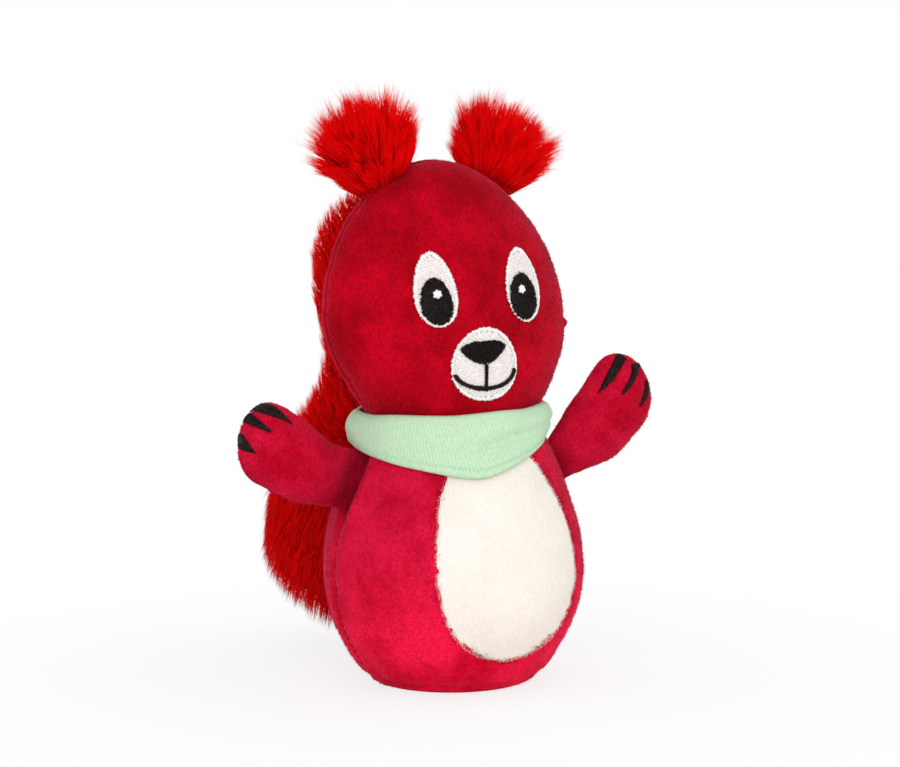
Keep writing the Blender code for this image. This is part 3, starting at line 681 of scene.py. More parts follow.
def jersey(tree, shader, colour):
    """Brushed cotton jersey, weft knitted: fine upright ribs of loops, softened by a thin nap."""
    place = add_node(tree, "UVMap", uv_map=MAP_NAME)
    along = add_node(tree, "SeparateXYZ", (place,))
    up = along.node.outputs["Y"]

    def wave(value, count):
        turned = add_node(tree, "Math", (value, 2 * math.pi * count), operation="MULTIPLY")
        return add_node(tree, "Math", (turned,), operation="SINE")

    # The map's width is the scarf's 210 mm round, its height 40 mm: 190 ribs and 42 courses, each about 1 mm
    slant = add_node(tree, "Math", (up, 0.06, along), operation="MULTIPLY_ADD")
    ribs, courses = wave(slant, 190.0), wave(up, 42.0)
    loops = add_node(tree, "Math", (courses, 0.15), operation="MULTIPLY")
    knit = add_node(tree, "Math", (ribs, loops), operation="ADD")
    spot = add_node(tree, "TexCoord", output="Object")
    nap = add_node(tree, "TexNoise", {"Vector": spot, "Scale": 1100.0, "Detail": 3.0, "Roughness": 0.6})
    height = add_node(tree, "Math", (knit, 0.12, nap), operation="MULTIPLY_ADD")
    tone = add_node(tree, "MapRange", (height, 0.1, 0.9, 0.80, 1.12))
    end_finish(shader, colour, tone, (0.92, 0.1, 0.08, 0.5), (height, 0.6, 0.0005))


def white_paper(tree, shader, colour):
    """Matt white paper. To the camera it is nearly white, keeps the toy's soft shadow, and fades into the backdrop."""
    place = add_node(tree, "TexCoord", output="Object")
    fibres = add_node(tree, "TexNoise", {"Vector": place, "Scale": 300.0})
    bump = add_node(tree, "Bump", {"Height": fibres, "Strength": 0.05, "Distance": 0.0002})
    feed(shader, {"Base Color": opaque(colour), "Roughness": 0.95, "Normal": bump})
    away = add_node(tree, "VectorMath", (place,), "Value", operation="LENGTH")
    far = add_node(tree, "MapRange", (away, 0.03, 0.26, 0.78, 1.0), interpolation_type="SMOOTHSTEP")
    rays = add_node(tree, "LightPath", output="Is Camera Ray")
    share = add_node(tree, "Math", (far, rays), operation="MULTIPLY")
    white = add_node(tree, "Emission", (opaque((1, 1, 1)), 1.0))
    both = add_node(tree, "MixShader", (share, shader.outputs[0], white))
    feed(tree.nodes["Material Output"], {"Surface": both})


def material(name):
    """The named finish, made when it is first asked for."""
    made = bpy.data.materials.get(name)
    if made:
        return made
    scene = bpy.context.scene
    cloth, fur, thread = scene.squirrel_cloth, scene.squirrel_fur, scene.squirrel_thread
    recipe, *values = {
        # Painted light: the body's velour is up to 38 % paler at its foot, for light bounced up from the floor
        CRIMSON: (velour, cloth.crimson, cloth.crimson_deep, 0.32, 1.25, 0.38),
        CRIMSON_UP: (velour, cloth.head_crimson, cloth.head_crimson_deep, 0.36, 1.3),
        CREAM: (velour, cloth.cream, [c * 0.95 for c in cloth.cream], 0.05, 0.3),
        "crimson sewing thread": (rayon_thread, [c * 0.75 for c in cloth.crimson_deep], 0.8),
        PILE: (long_pile, fur.scarlet, fur.scarlet_deep),
        BACKING: (fur_backing, fur.scarlet_deep),
        WHITE: (rayon_thread, thread.white, 0.55, (0.80, 1.06)),
        THIN_WHITE: (rayon_thread, thread.ground, 0.75, (0.70, 1.12)),
        # Painted highlights: the black thread's palest flecks are 5.5 times its colour, for the gloss of the rayon
        BLACK: (rayon_thread, thread.black, 0.45, (0.0, 5.5), 1000.0),
        "mint cotton jersey": (jersey, cloth.mint),
        "mint sewing thread": (rayon_thread, [c * 0.97 for c in cloth.mint], 0.8),
        "matt white paper": (white_paper, scene.squirrel_stage.floor),
    }[name]
    made = bpy.data.materials.new(name)
    made.use_nodes = True
    recipe(made.node_tree, made.node_tree.nodes["Principled BSDF"], *values)
    return made


# Covers


def paw_surface(name, arm):
    return Surface(arm, *PAW_VIEWS[name])


def claw_line(claw, share):
    """A point of a claw's bowed middle line, from its tip at 0 to its wide end at 1."""
    tip, middle, end = (Vector(spot) for spot in claw[:3])
    return tip.lerp(end, share) + (middle - (tip + end) / 2) * 4 * share * (1 - share)


def seam_rim(point, depth, seed):
    """How a sewn edge shapes the cloth near the plane Y = 0: a fine groove, a rim behind it, and puckers beside it."""
    groove = -0.55 * depth * bell(point.y, 0.0011)
    rim = 0.55 * depth * bell(point.y - 0.0026, 0.0017)
    reach = bell(abs(point.y), 0.0075, 1.5)
    spot = (point.x * 0.4, 0, point.z)
    puckers = ripple(spot, 0.0044, seed) * 0.00050 + ripple(spot, 0.0017, seed + 1) * 0.00016
    return groove + rim + puckers * reach


def near_seam(point, width):
    return max(0.0, 1 - abs(point[1]) / width)


def build_head(cloth):
    def place(share, turn):
        inner, level = min(share / 0.07, 1), math.sin(max(share - 0.07, 0) / 0.93 * math.pi / 2)
        height = NECK_HEIGHT - 0.003 * (1 - inner) + level * HEAD_HEIGHT
        profile = head_profile(level)
        shrink = COVER_SHRINK * min(1, profile / 0.45)
        across = (HEAD_HALF_WIDTH * profile - shrink) * inner * math.cos(turn)
        along = (head_half_depth(level) - shrink) * inner * pinched(math.sin(turn), HEAD_PINCH)
        return Vector((head_lean(height) + across, along, height - shrink * level))

    def held(p):
        return near_seam(p, 0.0016) if p[2] > NECK_HEIGHT + 0.006 else 1

    head = rounded_form("head_cover", 84, 56, place, 0.62)
    stuff(head, cloth.stuffing_swell, cloth.pressure, held)

    def shape(point):
        move = seam_rim(point, 0.0007, 3.0) * smooth_step(0.002, 0.010, point.z - NECK_HEIGHT)
        move += 0.00055 * ripple(point, 0.022, 1.0) + 0.00022 * ripple(point, 0.008, 2.0)
        # The end of the closing seam: a small knob on the head's left, with the cloth drawn in round it
        knob = (point - Vector((0.0418, -0.0004, 0.1180))).length
        move += 0.0034 * bell(knob, 0.0022) - 0.0011 * bell(knob - 0.0058, 0.0026)
        return move - 0.0010 * bell((point - Vector((0.0330, -0.0010, 0.1450))).length, 0.0045)

    push(head, shape)
    dress(head, CRIMSON_UP, ("head_front_panel", "head_back_panel", "head_stuffing"))
    # The back panel gets the body's paler velour: painted sheen for the pale strip where the head curves away behind
    # its seam
    head.data.materials.append(material(CRIMSON))
    for face in head.data.polygons:
        face.material_index = int(face.center.y > 0.0012)
    velour_pile("head_pile", head, 15000, cloth.pile_length, 11, CRIMSON_UP, lambda p: p.z > NECK_HEIGHT + 0.002)
    return head


def tummy_taper(side, rise):
    """The tummy narrows less on the squirrel's right, and hardly at all in the upper half there."""
    return TUMMY_TAPER if side > 0 else mix(TUMMY_TAPER - 0.10, 0.04, smooth_step(-0.1, 0.5, rise))


def tummy_outline(angle):
    rise = math.sin(angle)
    across = TUMMY_HALF_WIDTH * math.cos(angle) * (1 - tummy_taper(math.cos(angle), rise) * rise)
    return TUMMY_OFFSET + across, TUMMY_MIDDLE[1] + TUMMY_HALF_HEIGHT * rise


def tummy_distance(point):
    """How far a point of the front lies outside the tummy's outline, less than 0 inside it."""
    side = point.x - TUMMY_OFFSET
    rise = (point.z - TUMMY_MIDDLE[1]) / TUMMY_HALF_HEIGHT
    half = TUMMY_HALF_WIDTH * math.sqrt(max(1 - rise * rise, 0)) * (1 - tummy_taper(side, rise) * rise)
    across = abs(side) - half
    level = (math.hypot(side / TUMMY_HALF_WIDTH, rise) - 1) * TUMMY_HALF_HEIGHT
    return level if abs(rise) > 0.8 else max(min(across, abs(level)), -abs(across)) if across < 0 else across


def arm_rings(point):
    """How many root widths a point of the body is away from each arm that it is level with."""
    for name in ARMS:
        root, out, across, _ = arm_axes(name)
        reach = point - root
        if abs(reach.dot(out)) < 0.012:
            yield math.hypot(reach.dot(across) / (ARM_HALF_WIDTH + 0.0018), point.y / ARM_ROOT_REACH)


def build_body(cloth):
    def place(share, turn):
        if share < 0.13:
            inner, height = share / 0.13, 0.0
        elif share > 0.93:
            inner, height = (1 - share) / 0.07, NECK_HEIGHT
        else:
            inner, height = 1.0, (share - 0.13) / 0.80 * NECK_HEIGHT
        across, along = ((half - COVER_SHRINK) * inner for half in body_half_sizes(height))
        return Vector((across * math.cos(turn), along * pinched(math.sin(turn), BODY_PINCH), height))

    def held(p):
        return 1 if p[2] < BASE_SEAM_HEIGHT or p[2] > NECK_HEIGHT - 0.003 else near_seam(p, 0.0016)

    body = rounded_form("body_cover", 92, 58, place, 0.55)
    stuff(body, cloth.stuffing_swell, cloth.pressure, held)

    def shape(point):
        above_base = smooth_step(0.004, 0.012, point.z)
        move = seam_rim(point, 0.0008, 7.0) * above_base
        move += (0.0006 * ripple(point, 0.024, 4.0) + 0.00025 * ripple(point, 0.009, 5.0)) * above_base
        if point.z > 0.0006:
            # The base panel's seam, with its own puckers
            move -= 0.0010 * bell(point.z - BASE_SEAM_HEIGHT, 0.0007)
            turn = math.atan2(point.y, point.x)
            move += 0.0008 * noise.noise(Vector((turn * 9, 3.0, point.z * 60))) * bell(point.z - 0.006, 0.005)
        if point.y < -0.004:
            edge = tummy_distance(point)
            move -= 0.0003 * bell(edge, 0.0012) + 0.0004 * smooth_step(0.0004, -0.0030, edge)
            move += 0.00035 * ripple((point.x, 0, point.z), 0.0045, 6.0) * bell(edge, 0.005)
        for ring in arm_rings(point):
            # The front panel rolls over the seam that holds the arm
            ahead = min(max(-point.y, 0) / ARM_ROOT_REACH / max(ring, 1e-6), 1)
            move += 0.0012 * ahead * bell(ring - 2.6, 0.9) - 0.0022 * bell(ring - 0.9, 0.55)
        return move

    push(body, shape)
    points = points_of(body)
    points[:, 2] = np.maximum(points[:, 2], 0.0)
    set_points(body, points)
    # Painted shade in the crease round each arm's root
    paint_crease_shade(body, lambda p: max((bell(max(ring - 0.8, 0), 0.45) for ring in arm_rings(p)), default=0.0))
    panels = ("body_front_left_panel", "body_front_right_panel", "body_back_panel", "base_panel", "body_stuffing")
    dress(body, CRIMSON, panels)

    def keep(p):
        return 0.0012 < p.z < NECK_HEIGHT - 0.002 and not (p.y < -0.004 and tummy_distance(p) < -0.0006)

    velour_pile("body_pile", body, 16000, cloth.pile_length, 21, CRIMSON, keep)
    return body


class Surface:
    """A cover as seen from one side, to lay stitches and patches on."""

    def __init__(self, piece, azimuth=0.0, elevation=0.0, middle=(0, 0, 0)):
        self.tree = BVHTree.FromObject(piece, bpy.context.evaluated_depsgraph_get())
        level = math.cos(elevation)
        self.look = Vector((-math.sin(azimuth) * level, math.cos(azimuth) * level, -math.sin(elevation)))
        self.right = Vector((math.cos(azimuth), math.sin(azimuth), 0))
        self.up = self.right.cross(self.look)
        self.middle = Vector(middle)

    def at(self, across, up, lift=0.0):
        start = self.middle + self.right * across + self.up * up
        for _ in range(25):
            hit, facing, _, _ = self.tree.ray_cast(start - self.look * 0.2, self.look)
            if hit is not None:
                break
            # Beyond the outline the thread ends at the rim
            start += (self.middle - start) * 0.025
        return hit + facing * lift, facing

    def beside(self, height, side, depth):
        """The cloth straight to one side of the middle, at a height and depth."""
        return self.tree.ray_cast(Vector((side * 0.2, depth, height)), Vector((-side, 0, 0)))[:2]


def ring_faces(first, rings, around):
    """Triangles between rings of points, the first of which starts at the point given."""
    faces = []
    for ring in range(rings):
        for k in range(around):
            a, b = (first + ring * around + spot for spot in (k, (k + 1) % around))
            faces += [(a, a + around, b + around), (a, b + around, b)]
    return faces


def build_tummy(cloth, body):
    """The tummy panel: a shallow dome whose edge is tucked into the groove round it."""
    front = Surface(body)
    segments, rings = 96, 26
    points = []
    for step in range((rings + 1) * segments):
        share = step // segments / rings
        edge = tummy_outline(2 * math.pi * (step % segments) / segments)
        spot = [mix(start, end, share) for start, end in zip(TUMMY_MIDDLE, edge)]
        spot[1] = min(spot[1], NECK_HEIGHT - NECK_MARGIN)
        at = (spot[0], 0, spot[1])
        lift = 0.0006 * (1 - share**7) - 0.00006 + 0.0003 * ripple(at, 0.009, 8.0) * (1 - share**4)
        # The nap makes the cut edge ragged
        ragged = 1 + 0.012 * ripple(at, 0.0022, 9.0) * share**12
        spot = [mix(start, end, ragged) for start, end in zip(TUMMY_MIDDLE, spot)]
        points.append(front.at(*spot)[0] - BACKWARD * lift)
    back = [p + BACKWARD * 0.0010 for p in points]
    count, rim = len(points), rings * segments
    triangles = ring_faces(segments, rings - 1, segments)
    triangles += [(0, segments + k, segments + (k + 1) % segments) for k in range(segments)]
    triangles += [(a + count, c + count, b + count) for a, b, c in triangles]
    for k in range(segments):
        a, b = rim + k, rim + (k + 1) % segments
        triangles += [(a, a + count, b + count), (a, b + count, b)]
    tummy = mesh_of("tummy_cover", [tuple(p) for p in points + back], triangles)
    face_outwards(tummy)
    dress(tummy, CREAM, ("tummy_panel",))
    depth = {}

    def on_front(p):
        key = (round(p.x, 3), round(p.z, 3))
        if key not in depth:
            depth[key] = front.at(p.x, min(p.z, NECK_HEIGHT - NECK_MARGIN))[0].y
        return p.y < depth[key] + 0.0004 and tummy_distance(p) > -0.0010 - 0.0008 * ripple(p, 0.0020, 34.0)

    def round_tummy(p):
        return p.y < -0.004 and 0.0001 < tummy_distance(p) < 0.0009

    velour_pile("tummy_pile", tummy, 2400, cloth.pile_length * 1.15, 31, CREAM, on_front)
    velour_pile("tummy_seam_pile", body, 3600, cloth.pile_length * 1.1, 35, CRIMSON, round_tummy)


def build_arm(name, cloth):
    root, out, across, length = arm_axes(name)
    # The left arm is a little longer than its solid
    length += {"right": 0.0, "left": 0.0022}[name]

    def place(share, turn):
        inner = min(share / 0.06, 1)
        run = math.sin(max(share - 0.06, 0) / 0.94 * math.pi / 2)
        along = mix(-SHOULDER_INSET, length, run)
        middle = along / length
        spread = smooth_step(0, PAW_START, middle)
        rounding = math.sqrt(max(1 - (max(run - 0.72, 0) / 0.28) ** 3, 0)) * inner
        sag = ARM_SAG * 4 * middle * (1 - middle) - smooth_read(ARM_FIT[name], middle)
        half_width = mix(ARM_HALF_WIDTH, PAW_HALF_WIDTH, spread) - 0.0003 + smooth_read(ARM_FIT[name], middle, 2)
        # The arm is sewn flat into the side seam, and fills out from there
        half_thick = mix(0.20, 1, smooth_step(-0.03, 0.42, middle)) * ARM_HALF_THICKNESS - 0.0003
        thick = BACKWARD * (half_thick * rounding * pinched(math.sin(turn), 1.12))
        return root + out * along + thick + across * (half_width * rounding * math.cos(turn) - sag)

    def beyond(point):
        """How far out along the arm a point lies."""
        return (Vector(point) - root).dot(out)

    arm = rounded_form(f"arm_{name}_cover", 48, 36, place, 0.6)
    stuff(arm, 0.0008, cloth.pressure, lambda p: 1 if beyond(p) < 0.001 else near_seam(p, 0.0013))
    front = paw_surface(name, arm)
    toes = [[front.at(*claw_line(claw, k / 12))[0] for k in range(13)] for claw in CLAWS[name].values()]

    def shape(point):
        along, side, y = beyond(point), (point - root).dot(across), point.y
        beat = 0.55 + 0.45 * math.cos(2 * math.pi * (along + 0.5 * side) / 0.0024)
        offs = [min((point - spot).length for spot in toe) for toe in toes]
        move = -0.0006 * (0.5 + 0.7 * beat) * bell(y, 0.0006) + 0.0003 * bell(y - 0.0015, 0.0009)
        # The claws' thread fills the seam's groove
        move *= 1 - bell(min(offs), 0.0028, 4)
        move += ripple((along, 0, side), 0.004, 9.0) * 0.00035 * bell(abs(y), 0.005, 1.4)
        # The cloth is drawn in where the arm is sewn to the side
        near = bell(max(along, 0), 0.005)
        move -= (0.0010 + 0.0012 * abs(y) / (abs(y) + 0.4 * abs(side) + 1e-5)) * near
        move += 0.0005 * near * ripple((0, y, side), 0.003, 10.0)
        # It is drawn in under each claw too, so that toes stand between them
        move -= sum(0.0013 * bell(off, 0.0022) for off in offs)
        return move + 0.00035 * ripple(point, 0.014, 12.0)

    push(arm, shape)
    # Painted shade on the arm where it is sewn to the body
    paint_crease_shade(arm, lambda p: bell(max(beyond(p), 0), 0.0055, 1.6))
    panels = (f"arm_{name}_front_panel", f"arm_{name}_back_panel", f"arm_{name}_stuffing")
    dress(arm, CRIMSON, panels)

    def keep(p):
        """No pile grows through the claws' stitches."""
        return beyond(p) > -0.001 and all((p - spot).length > 0.0018 for toe in toes for spot in toe)

    velour_pile(f"arm_{name}_pile", arm, 4000, cloth.pile_length, 41 + len(name), CRIMSON, keep)
    return arm


# Stitching


class Stitches:
    """Collects stitches, each a closed sliver of thread bowed over the cloth, and the ground under them."""

    def __init__(self, surface, thread):
        self.surface, self.thread = surface, thread
        self.points, self.triangles = [], []
        self.random = np.random.default_rng(5)
        self.ground_faces = 0

    def sew(self, start, end, base=0.0, width=None, bow=None):
        """One stitch between two places (across, up) of the surface."""
        width = (width or self.thread.width) * (0.9 + 0.25 * self.random.random())
        bow = self.thread.height if bow is None else bow
        ends = [self.surface.at(*spot, base)[0] for spot in (start, end)]
        _, facing = self.surface.at((start[0] + end[0]) / 2, (start[1] + end[1]) / 2)
        spots = [self.surface.at(mix(start[0], end[0], k), mix(start[1], end[1], k), base)[0] for k in STITCH_SHARES]
        self.sew_between(*ends, facing, width, bow, spots)

    def sew_between(self, start, end, facing, width, bow, spots=None):
        """One stitch between two points in space."""
        first = len(self.points)
        run = end - start
        if run.length < 1e-6:
            return
        side = run.cross(facing).normalized()
        self.points.append(start - facing * 0.0001)
        for share, spot in zip(STITCH_SHARES, spots or [start.lerp(end, k) for k in STITCH_SHARES]):
            middle = spot + facing * bow * 4 * share * (1 - share) * 0.8
            half = width / 2 * (1.0 if share == 0.5 else 0.85)
            self.points += [middle + side * half, middle + facing * half * 0.7]
            self.points += [middle - side * half, middle - facing * half * 0.9]
        self.points.append(end - facing * 0.0001)
        for k in range(4):
            after = (k + 1) % 4
            self.triangles.append((first, first + 1 + k, first + 1 + after))
            for ring in (0, 4):
                a, b = first + 1 + ring + k, first + 1 + ring + after
                self.triangles += [(a, a + 4, b + 4), (a, b + 4, b)]
            self.triangles.append((first + 13, first + 9 + after, first + 9 + k))

    def border(self, outline, width, base=0.0, ragged=0.00012, bow=None):
        """Satin stitch round an outline, each stitch across its edge."""
        steps = 720
        edge = [Vector(outline(2 * math.pi * k / steps)) for k in range(steps)]
        middle = sum(edge, Vector((0, 0))) / steps
        travelled, spacing = 0.0, self.thread.spacing
        for k in range(steps):
            travelled += (edge[k] - edge[k - 1]).length
            if travelled < spacing:
                continue
            travelled -= spacing
            along = (edge[(k + 1) % steps] - edge[k - 1]).normalized()
            inward = Vector((-along.y, along.x))
            if inward.dot(middle - edge[k]) < 0:
                inward = -inward
            slip = self.random.normal() * ragged
            self.sew(edge[k] - inward * (slip + 0.0001), edge[k] + inward * width, base, None, bow)

    def fill(self, outline, inset, base, length, angle, spacing=None):
        """Rows of running stitches over the inside of an outline, laid like bricks."""
        spacing = spacing or self.thread.fill_spacing
        turn = np.array(((math.cos(angle), math.sin(angle)), (-math.sin(angle), math.cos(angle))))
        edge = np.array([outline(2 * math.pi * k / 180) for k in range(180)])
        middle = edge.mean(axis=0)
        edge = (edge - middle) * (1 - inset / np.linalg.norm(edge - middle, axis=1))[:, None] + middle
        level = edge @ turn.T
        row, at = 0, level[:, 1].min() + spacing / 2
        while at < level[:, 1].max():
            crossing = []
            for (x0, y0), (x1, y1) in zip(np.roll(level, 1, axis=0), level):
                if (y0 - at) * (y1 - at) < 0:
                    crossing.append(x0 + (x1 - x0) * (at - y0) / (y1 - y0))
            crossing.sort()
            for low, high in zip(crossing[::2], crossing[1::2]):
                cut = low - length * ((row * 0.37) % 1)
                while cut < high:
                    a, b = max(cut, low), min(cut + length, high)
                    if b - a > 0.0004:
                        ends = [tuple(np.array((end, at)) @ turn) for end in (a, b)]
                        self.sew(*ends, base, self.thread.fill_width, 0.00012)
                    cut += length
            row, at = row + 1, at + spacing

    def line(self, path, width, base):
        """A narrow line of satin stitch along a path of places (across, up)."""
        path = [Vector(p) for p in path]
        travelled, spacing = self.thread.spacing, self.thread.spacing * 0.85
        for start, end in zip(path, path[1:]):
            step = end - start
            along = step.normalized()
            across = Vector((-along.y, along.x))
            slant = along * width * 0.18
            while travelled < step.length:
                spot = start + along * travelled
                half = width / 2 * (1 + 0.12 * self.random.normal())
                self.sew(spot - across * half - slant, spot + across * half + slant, base)
                travelled += spacing
            travelled -= step.length

    def ground(self, outline, lift, rings=8, segments=48, sink=0.0006):
        """A thin closed patch under the stitches, its edge sunk into the cloth."""
        edge = [Vector(outline(2 * math.pi * k / segments)) for k in range(segments)]
        middle = sum(edge, Vector((0, 0))) / segments
        for lift in (lift, -sink):
            self.points.append(self.surface.at(*middle, lift)[0])
            for ring in range(1, rings + 1):
                height = -sink if ring == rings else lift
                for spot in edge:
                    self.points.append(self.surface.at(*middle.lerp(spot, 0.97 * ring / rings), height)[0])
        half = 1 + rings * segments
        top = []
        for k in range(segments):
            after = (k + 1) % segments
            top.append((0, 1 + k, 1 + after))
            for ring in range(rings - 1):
                a, b = 1 + ring * segments + k, 1 + ring * segments + after
                top += [(a, a + segments, b + segments), (a, b + segments, b)]
        bottom = [(a + half, c + half, b + half) for a, b, c in top]
        rim = []
        for k in range(segments):
            a, b = (half - segments + spot for spot in (k, (k + 1) % segments))
            rim += [(a, a + half, b + half), (a, b + half, b)]
        self.triangles += top + bottom + rim
        self.ground_faces = len(self.triangles)

    def patch(self, outline, lift, inset, length, angle, border, ragged, bow):
        """A filled patch with a satin border, over its ground."""
        self.ground(outline, lift)
        self.fill(outline, inset, lift, length, angle)
        self.border(outline, border, lift, ragged, bow)

    def make(self, name, finish, nodes, ground_finish=None):
        if not self.triangles:
            raise RuntimeError(f"{name} has no stitches")
        piece = mesh_of(name, [tuple(p) for p in self.points], self.triangles)
        face_outwards(piece)
        dress(piece, finish, nodes)
        if ground_finish:
            piece.data.materials.append(material(ground_finish))
            for face in piece.data.polygons[: self.ground_faces]:
                face.material_index = 1


def leaning_oval(middle, half_width, half_height, taper, lean=0.0):
    """An egg round a middle: a positive taper narrows its top, and a lean moves its top sideways."""

    def outline(angle):
        rise = math.sin(angle)
        across = half_width * math.cos(angle) * (1 - taper * rise) + lean * half_height * rise
        return middle[0] + across, middle[1] + half_height * rise

    return outline


def closed_curve(middle, edge):
    """A smooth outline through the edge's points."""

    def outline(angle):
        at = (angle / (2 * math.pi)) % 1 * len(edge)
        spot = curve(*(Vector(edge[(int(at) + k) % len(edge)]) for k in (-1, 0, 1, 2)), at % 1)
        return middle.x + spot.x, middle.y + spot.y

    return outline


def build_face(head, thread):
    face = Surface(head)
    lean = HEAD_LEAN * 1.2
    # The stitched eyes sit up to 1.6 mm from the solids' places, where the photograph has them; the right one is
    # slimmer, and the left one looks a little towards the nose
    for side, name, shift, slim, gaze, glint in (
        (-1, "right", (-0.0003, -0.0003), 0.94, -0.0003, 0.0003),
        (1, "left", (0.0011, -0.0011), 1.0, -0.0009, -0.0010),
    ):
        up = NECK_HEIGHT + EYE_RISE + side * EYE_TILT + shift[1]
        across = side * EYE_OFFSET + head_lean(up) + shift[0]
        white = leaning_oval((across, up), EYE_HALF_WIDTH * 0.93 * slim, EYE_HALF_HEIGHT * 0.965, 0.17, lean)
        eye = Stitches(face, thread)
        eye.patch(white, 0.00050, 0.0008, 0.0017, math.radians(5), 0.0012, 0.00014, 0.00020)
        eye.make(f"eye_{name}_white", WHITE, (f"eye_white_{name}",), THIN_WHITE)
        middle = (across - HEAD_LEAN * 0.002 + 0.0003 + gaze, up - PUPIL_DROP + 0.0003)
        pupil = leaning_oval(middle, PUPIL_HALF_WIDTH * 0.97 * slim**2, PUPIL_HALF_HEIGHT * 0.96, 0.12, lean)
        black = Stitches(face, thread)
        black.ground(pupil, 0.0010)
        black.fill(pupil, 0.0004, 0.0010, 0.0016, math.radians(82))
        black.border(pupil, 0.0009, 0.0009, 0.00020)
        black.make(f"pupil_{name}_stitched", BLACK, (f"pupil_{name}",))
        shine = Stitches(face, thread)
        spot = Vector((middle[0] - 0.0002 + glint, middle[1] + 0.0022))
        for k in range(9):
            angle = math.pi * k / 9 + 0.3
            reach = Vector((math.cos(angle), math.sin(angle))) * (0.0015 + 0.0002 * (k * 5 % 3 - 1))
            shine.sew(spot - reach, spot + reach, 0.0014 + 0.00004 * k, 0.0009)
        shine.make(f"glint_{name}_stitched", WHITE, (f"eye_glint_{name}",))
    high = NECK_HEIGHT + MUZZLE_RISE - 0.0003
    across = MUZZLE_OFFSET + head_lean(high) + 0.0006
    muzzle = Stitches(face, thread)
    round_nose = leaning_oval((across, high), MUZZLE_HALF_WIDTH * 0.945, MUZZLE_HALF_HEIGHT * 0.975, 0.07)
    muzzle.patch(round_nose, 0.00050, 0.0008, 0.0020, 0.0, 0.0011, 0.00014, 0.00016)
    muzzle.make("muzzle_stitched", WHITE, ("muzzle_patch",), THIN_WHITE)
    nose_middle = Vector((across - 0.0010, high + NOSE_RISE - 0.0004))
    nose = Stitches(face, thread)
    tip = closed_curve(nose_middle, NOSE_EDGE)
    nose.ground(tip, 0.0010)
    nose.fill(tip, 0.0002, 0.0010, 0.0020, math.radians(4))
    nose.fill(tip, 0.0007, 0.0012, 0.0018, math.radians(12), 0.00055)
    nose.make("nose_stitched", BLACK, ("nose",))
    low = high - SMILE_DROP
    smile = []
    for bend in (math.pi / 2 * step / 24 for step in range(-22, 24)):
        side = SMILE_HALF_WIDTH * math.sin(bend) * (0.98 if bend > 0 else 1.0)
        rise = (SMILE_RISE + 0.0003 * math.sin(bend)) * (1 - math.cos(bend))
        smile.append((across + side, low + 0.0007 + rise))
    lip = [(across, mix(nose_middle.y - 0.0037, low, k / 10)) for k in range(11)]
    for name, path, width, node in (("smile", smile, 0.0017, "mouth_line"), ("lip", lip, 0.0016, "lip_line")):
        mouth = Stitches(face, thread)
        mouth.line(path, width, 0.0009)
        mouth.make(f"{name}_stitched", BLACK, (node,))


def sew_seams(name, piece, low, high, thread):
    """The closing stitches that show in a cover's side seams, each a short dark dash in the groove."""
    sides = Surface(piece)
    dashes = Stitches(sides, thread)
    random = dashes.random
    for side in (-1, 1):
        height = low
        while height < high:
            long = 0.0010 + 0.0008 * random.random()
            depth = -0.0003 + 0.0002 * random.normal()
            ends = [sides.beside(height + rise, side, depth) for rise in (0.0, long)]
            if all(spot for spot, _ in ends):
                a, b = (spot + facing * 0.00018 for spot, facing in ends)
                dashes.sew_between(a, b, ends[0][1], 0.0004 + 0.0005 * random.random(), 0.00005)
            height += long + 0.0007 + 0.0005 * random.random()
    dashes.make(name, "crimson sewing thread", ())


def build_claws(name, arm, thread):
    """Three wedges of satin stitch on each paw, wide at its rim, that end in a point on its front."""
    front = paw_surface(name, arm)
    for label, claw in CLAWS[name].items():
        sewn = Stitches(front, thread)
        count = int((Vector(claw[2]) - Vector(claw[0])).length * 1.06 / (thread.spacing * 0.42))
        for k in range(count):
            share = 1.06 * (k + 0.6) / count
            spot = claw_line(claw, share)
            ahead = claw_line(claw, share + 0.05) - claw_line(claw, share - 0.05)
            aside = Vector((-ahead.y, ahead.x)).normalized()
            half = smooth_read([(i / 4, w) for i, w in enumerate(claw[3])], share) / 2
            slip = sewn.random.normal(size=2) * 0.00010
            a, b = spot - aside * (half + slip[0]), spot + aside * (half + slip[1])
            sewn.sew(a, b, 0.00024, 0.00052, 0.00040 * min(half / 0.0012, 1))
        sewn.make(f"claw_{name}_{label}_stitched", BLACK, (f"claw_{name}_{label}",))


# Fur


def clumped(roots, tips, spacing, seed, pull):
    """Draws the tips of hairs that grow close together towards a shared point, as brushed fur does."""
    cells = np.floor(roots / spacing + fields(roots, spacing * 1.7, seed) * 0.6).astype(np.int64)
    keys = cells[:, 0] * 73856093 ^ cells[:, 1] * 19349663 ^ cells[:, 2] * 83492791
    group = np.unique(keys, return_inverse=True)[1].reshape(-1)
    size = np.bincount(group)
    centre, base = (np.stack([np.bincount(group, of[:, k]) / size for k in range(3)], 1) for of in (tips, roots))
    random = np.random.default_rng(seed)
    strength = pull * (0.55 + 0.45 * random.random(len(size)))
    reach = 1 + 0.16 * random.normal(size=len(size))
    centre = base + (centre - base) * np.clip(reach, 0.6, 1.4)[:, None]
    return tips + (centre[group] - tips) * strength[group][:, None]


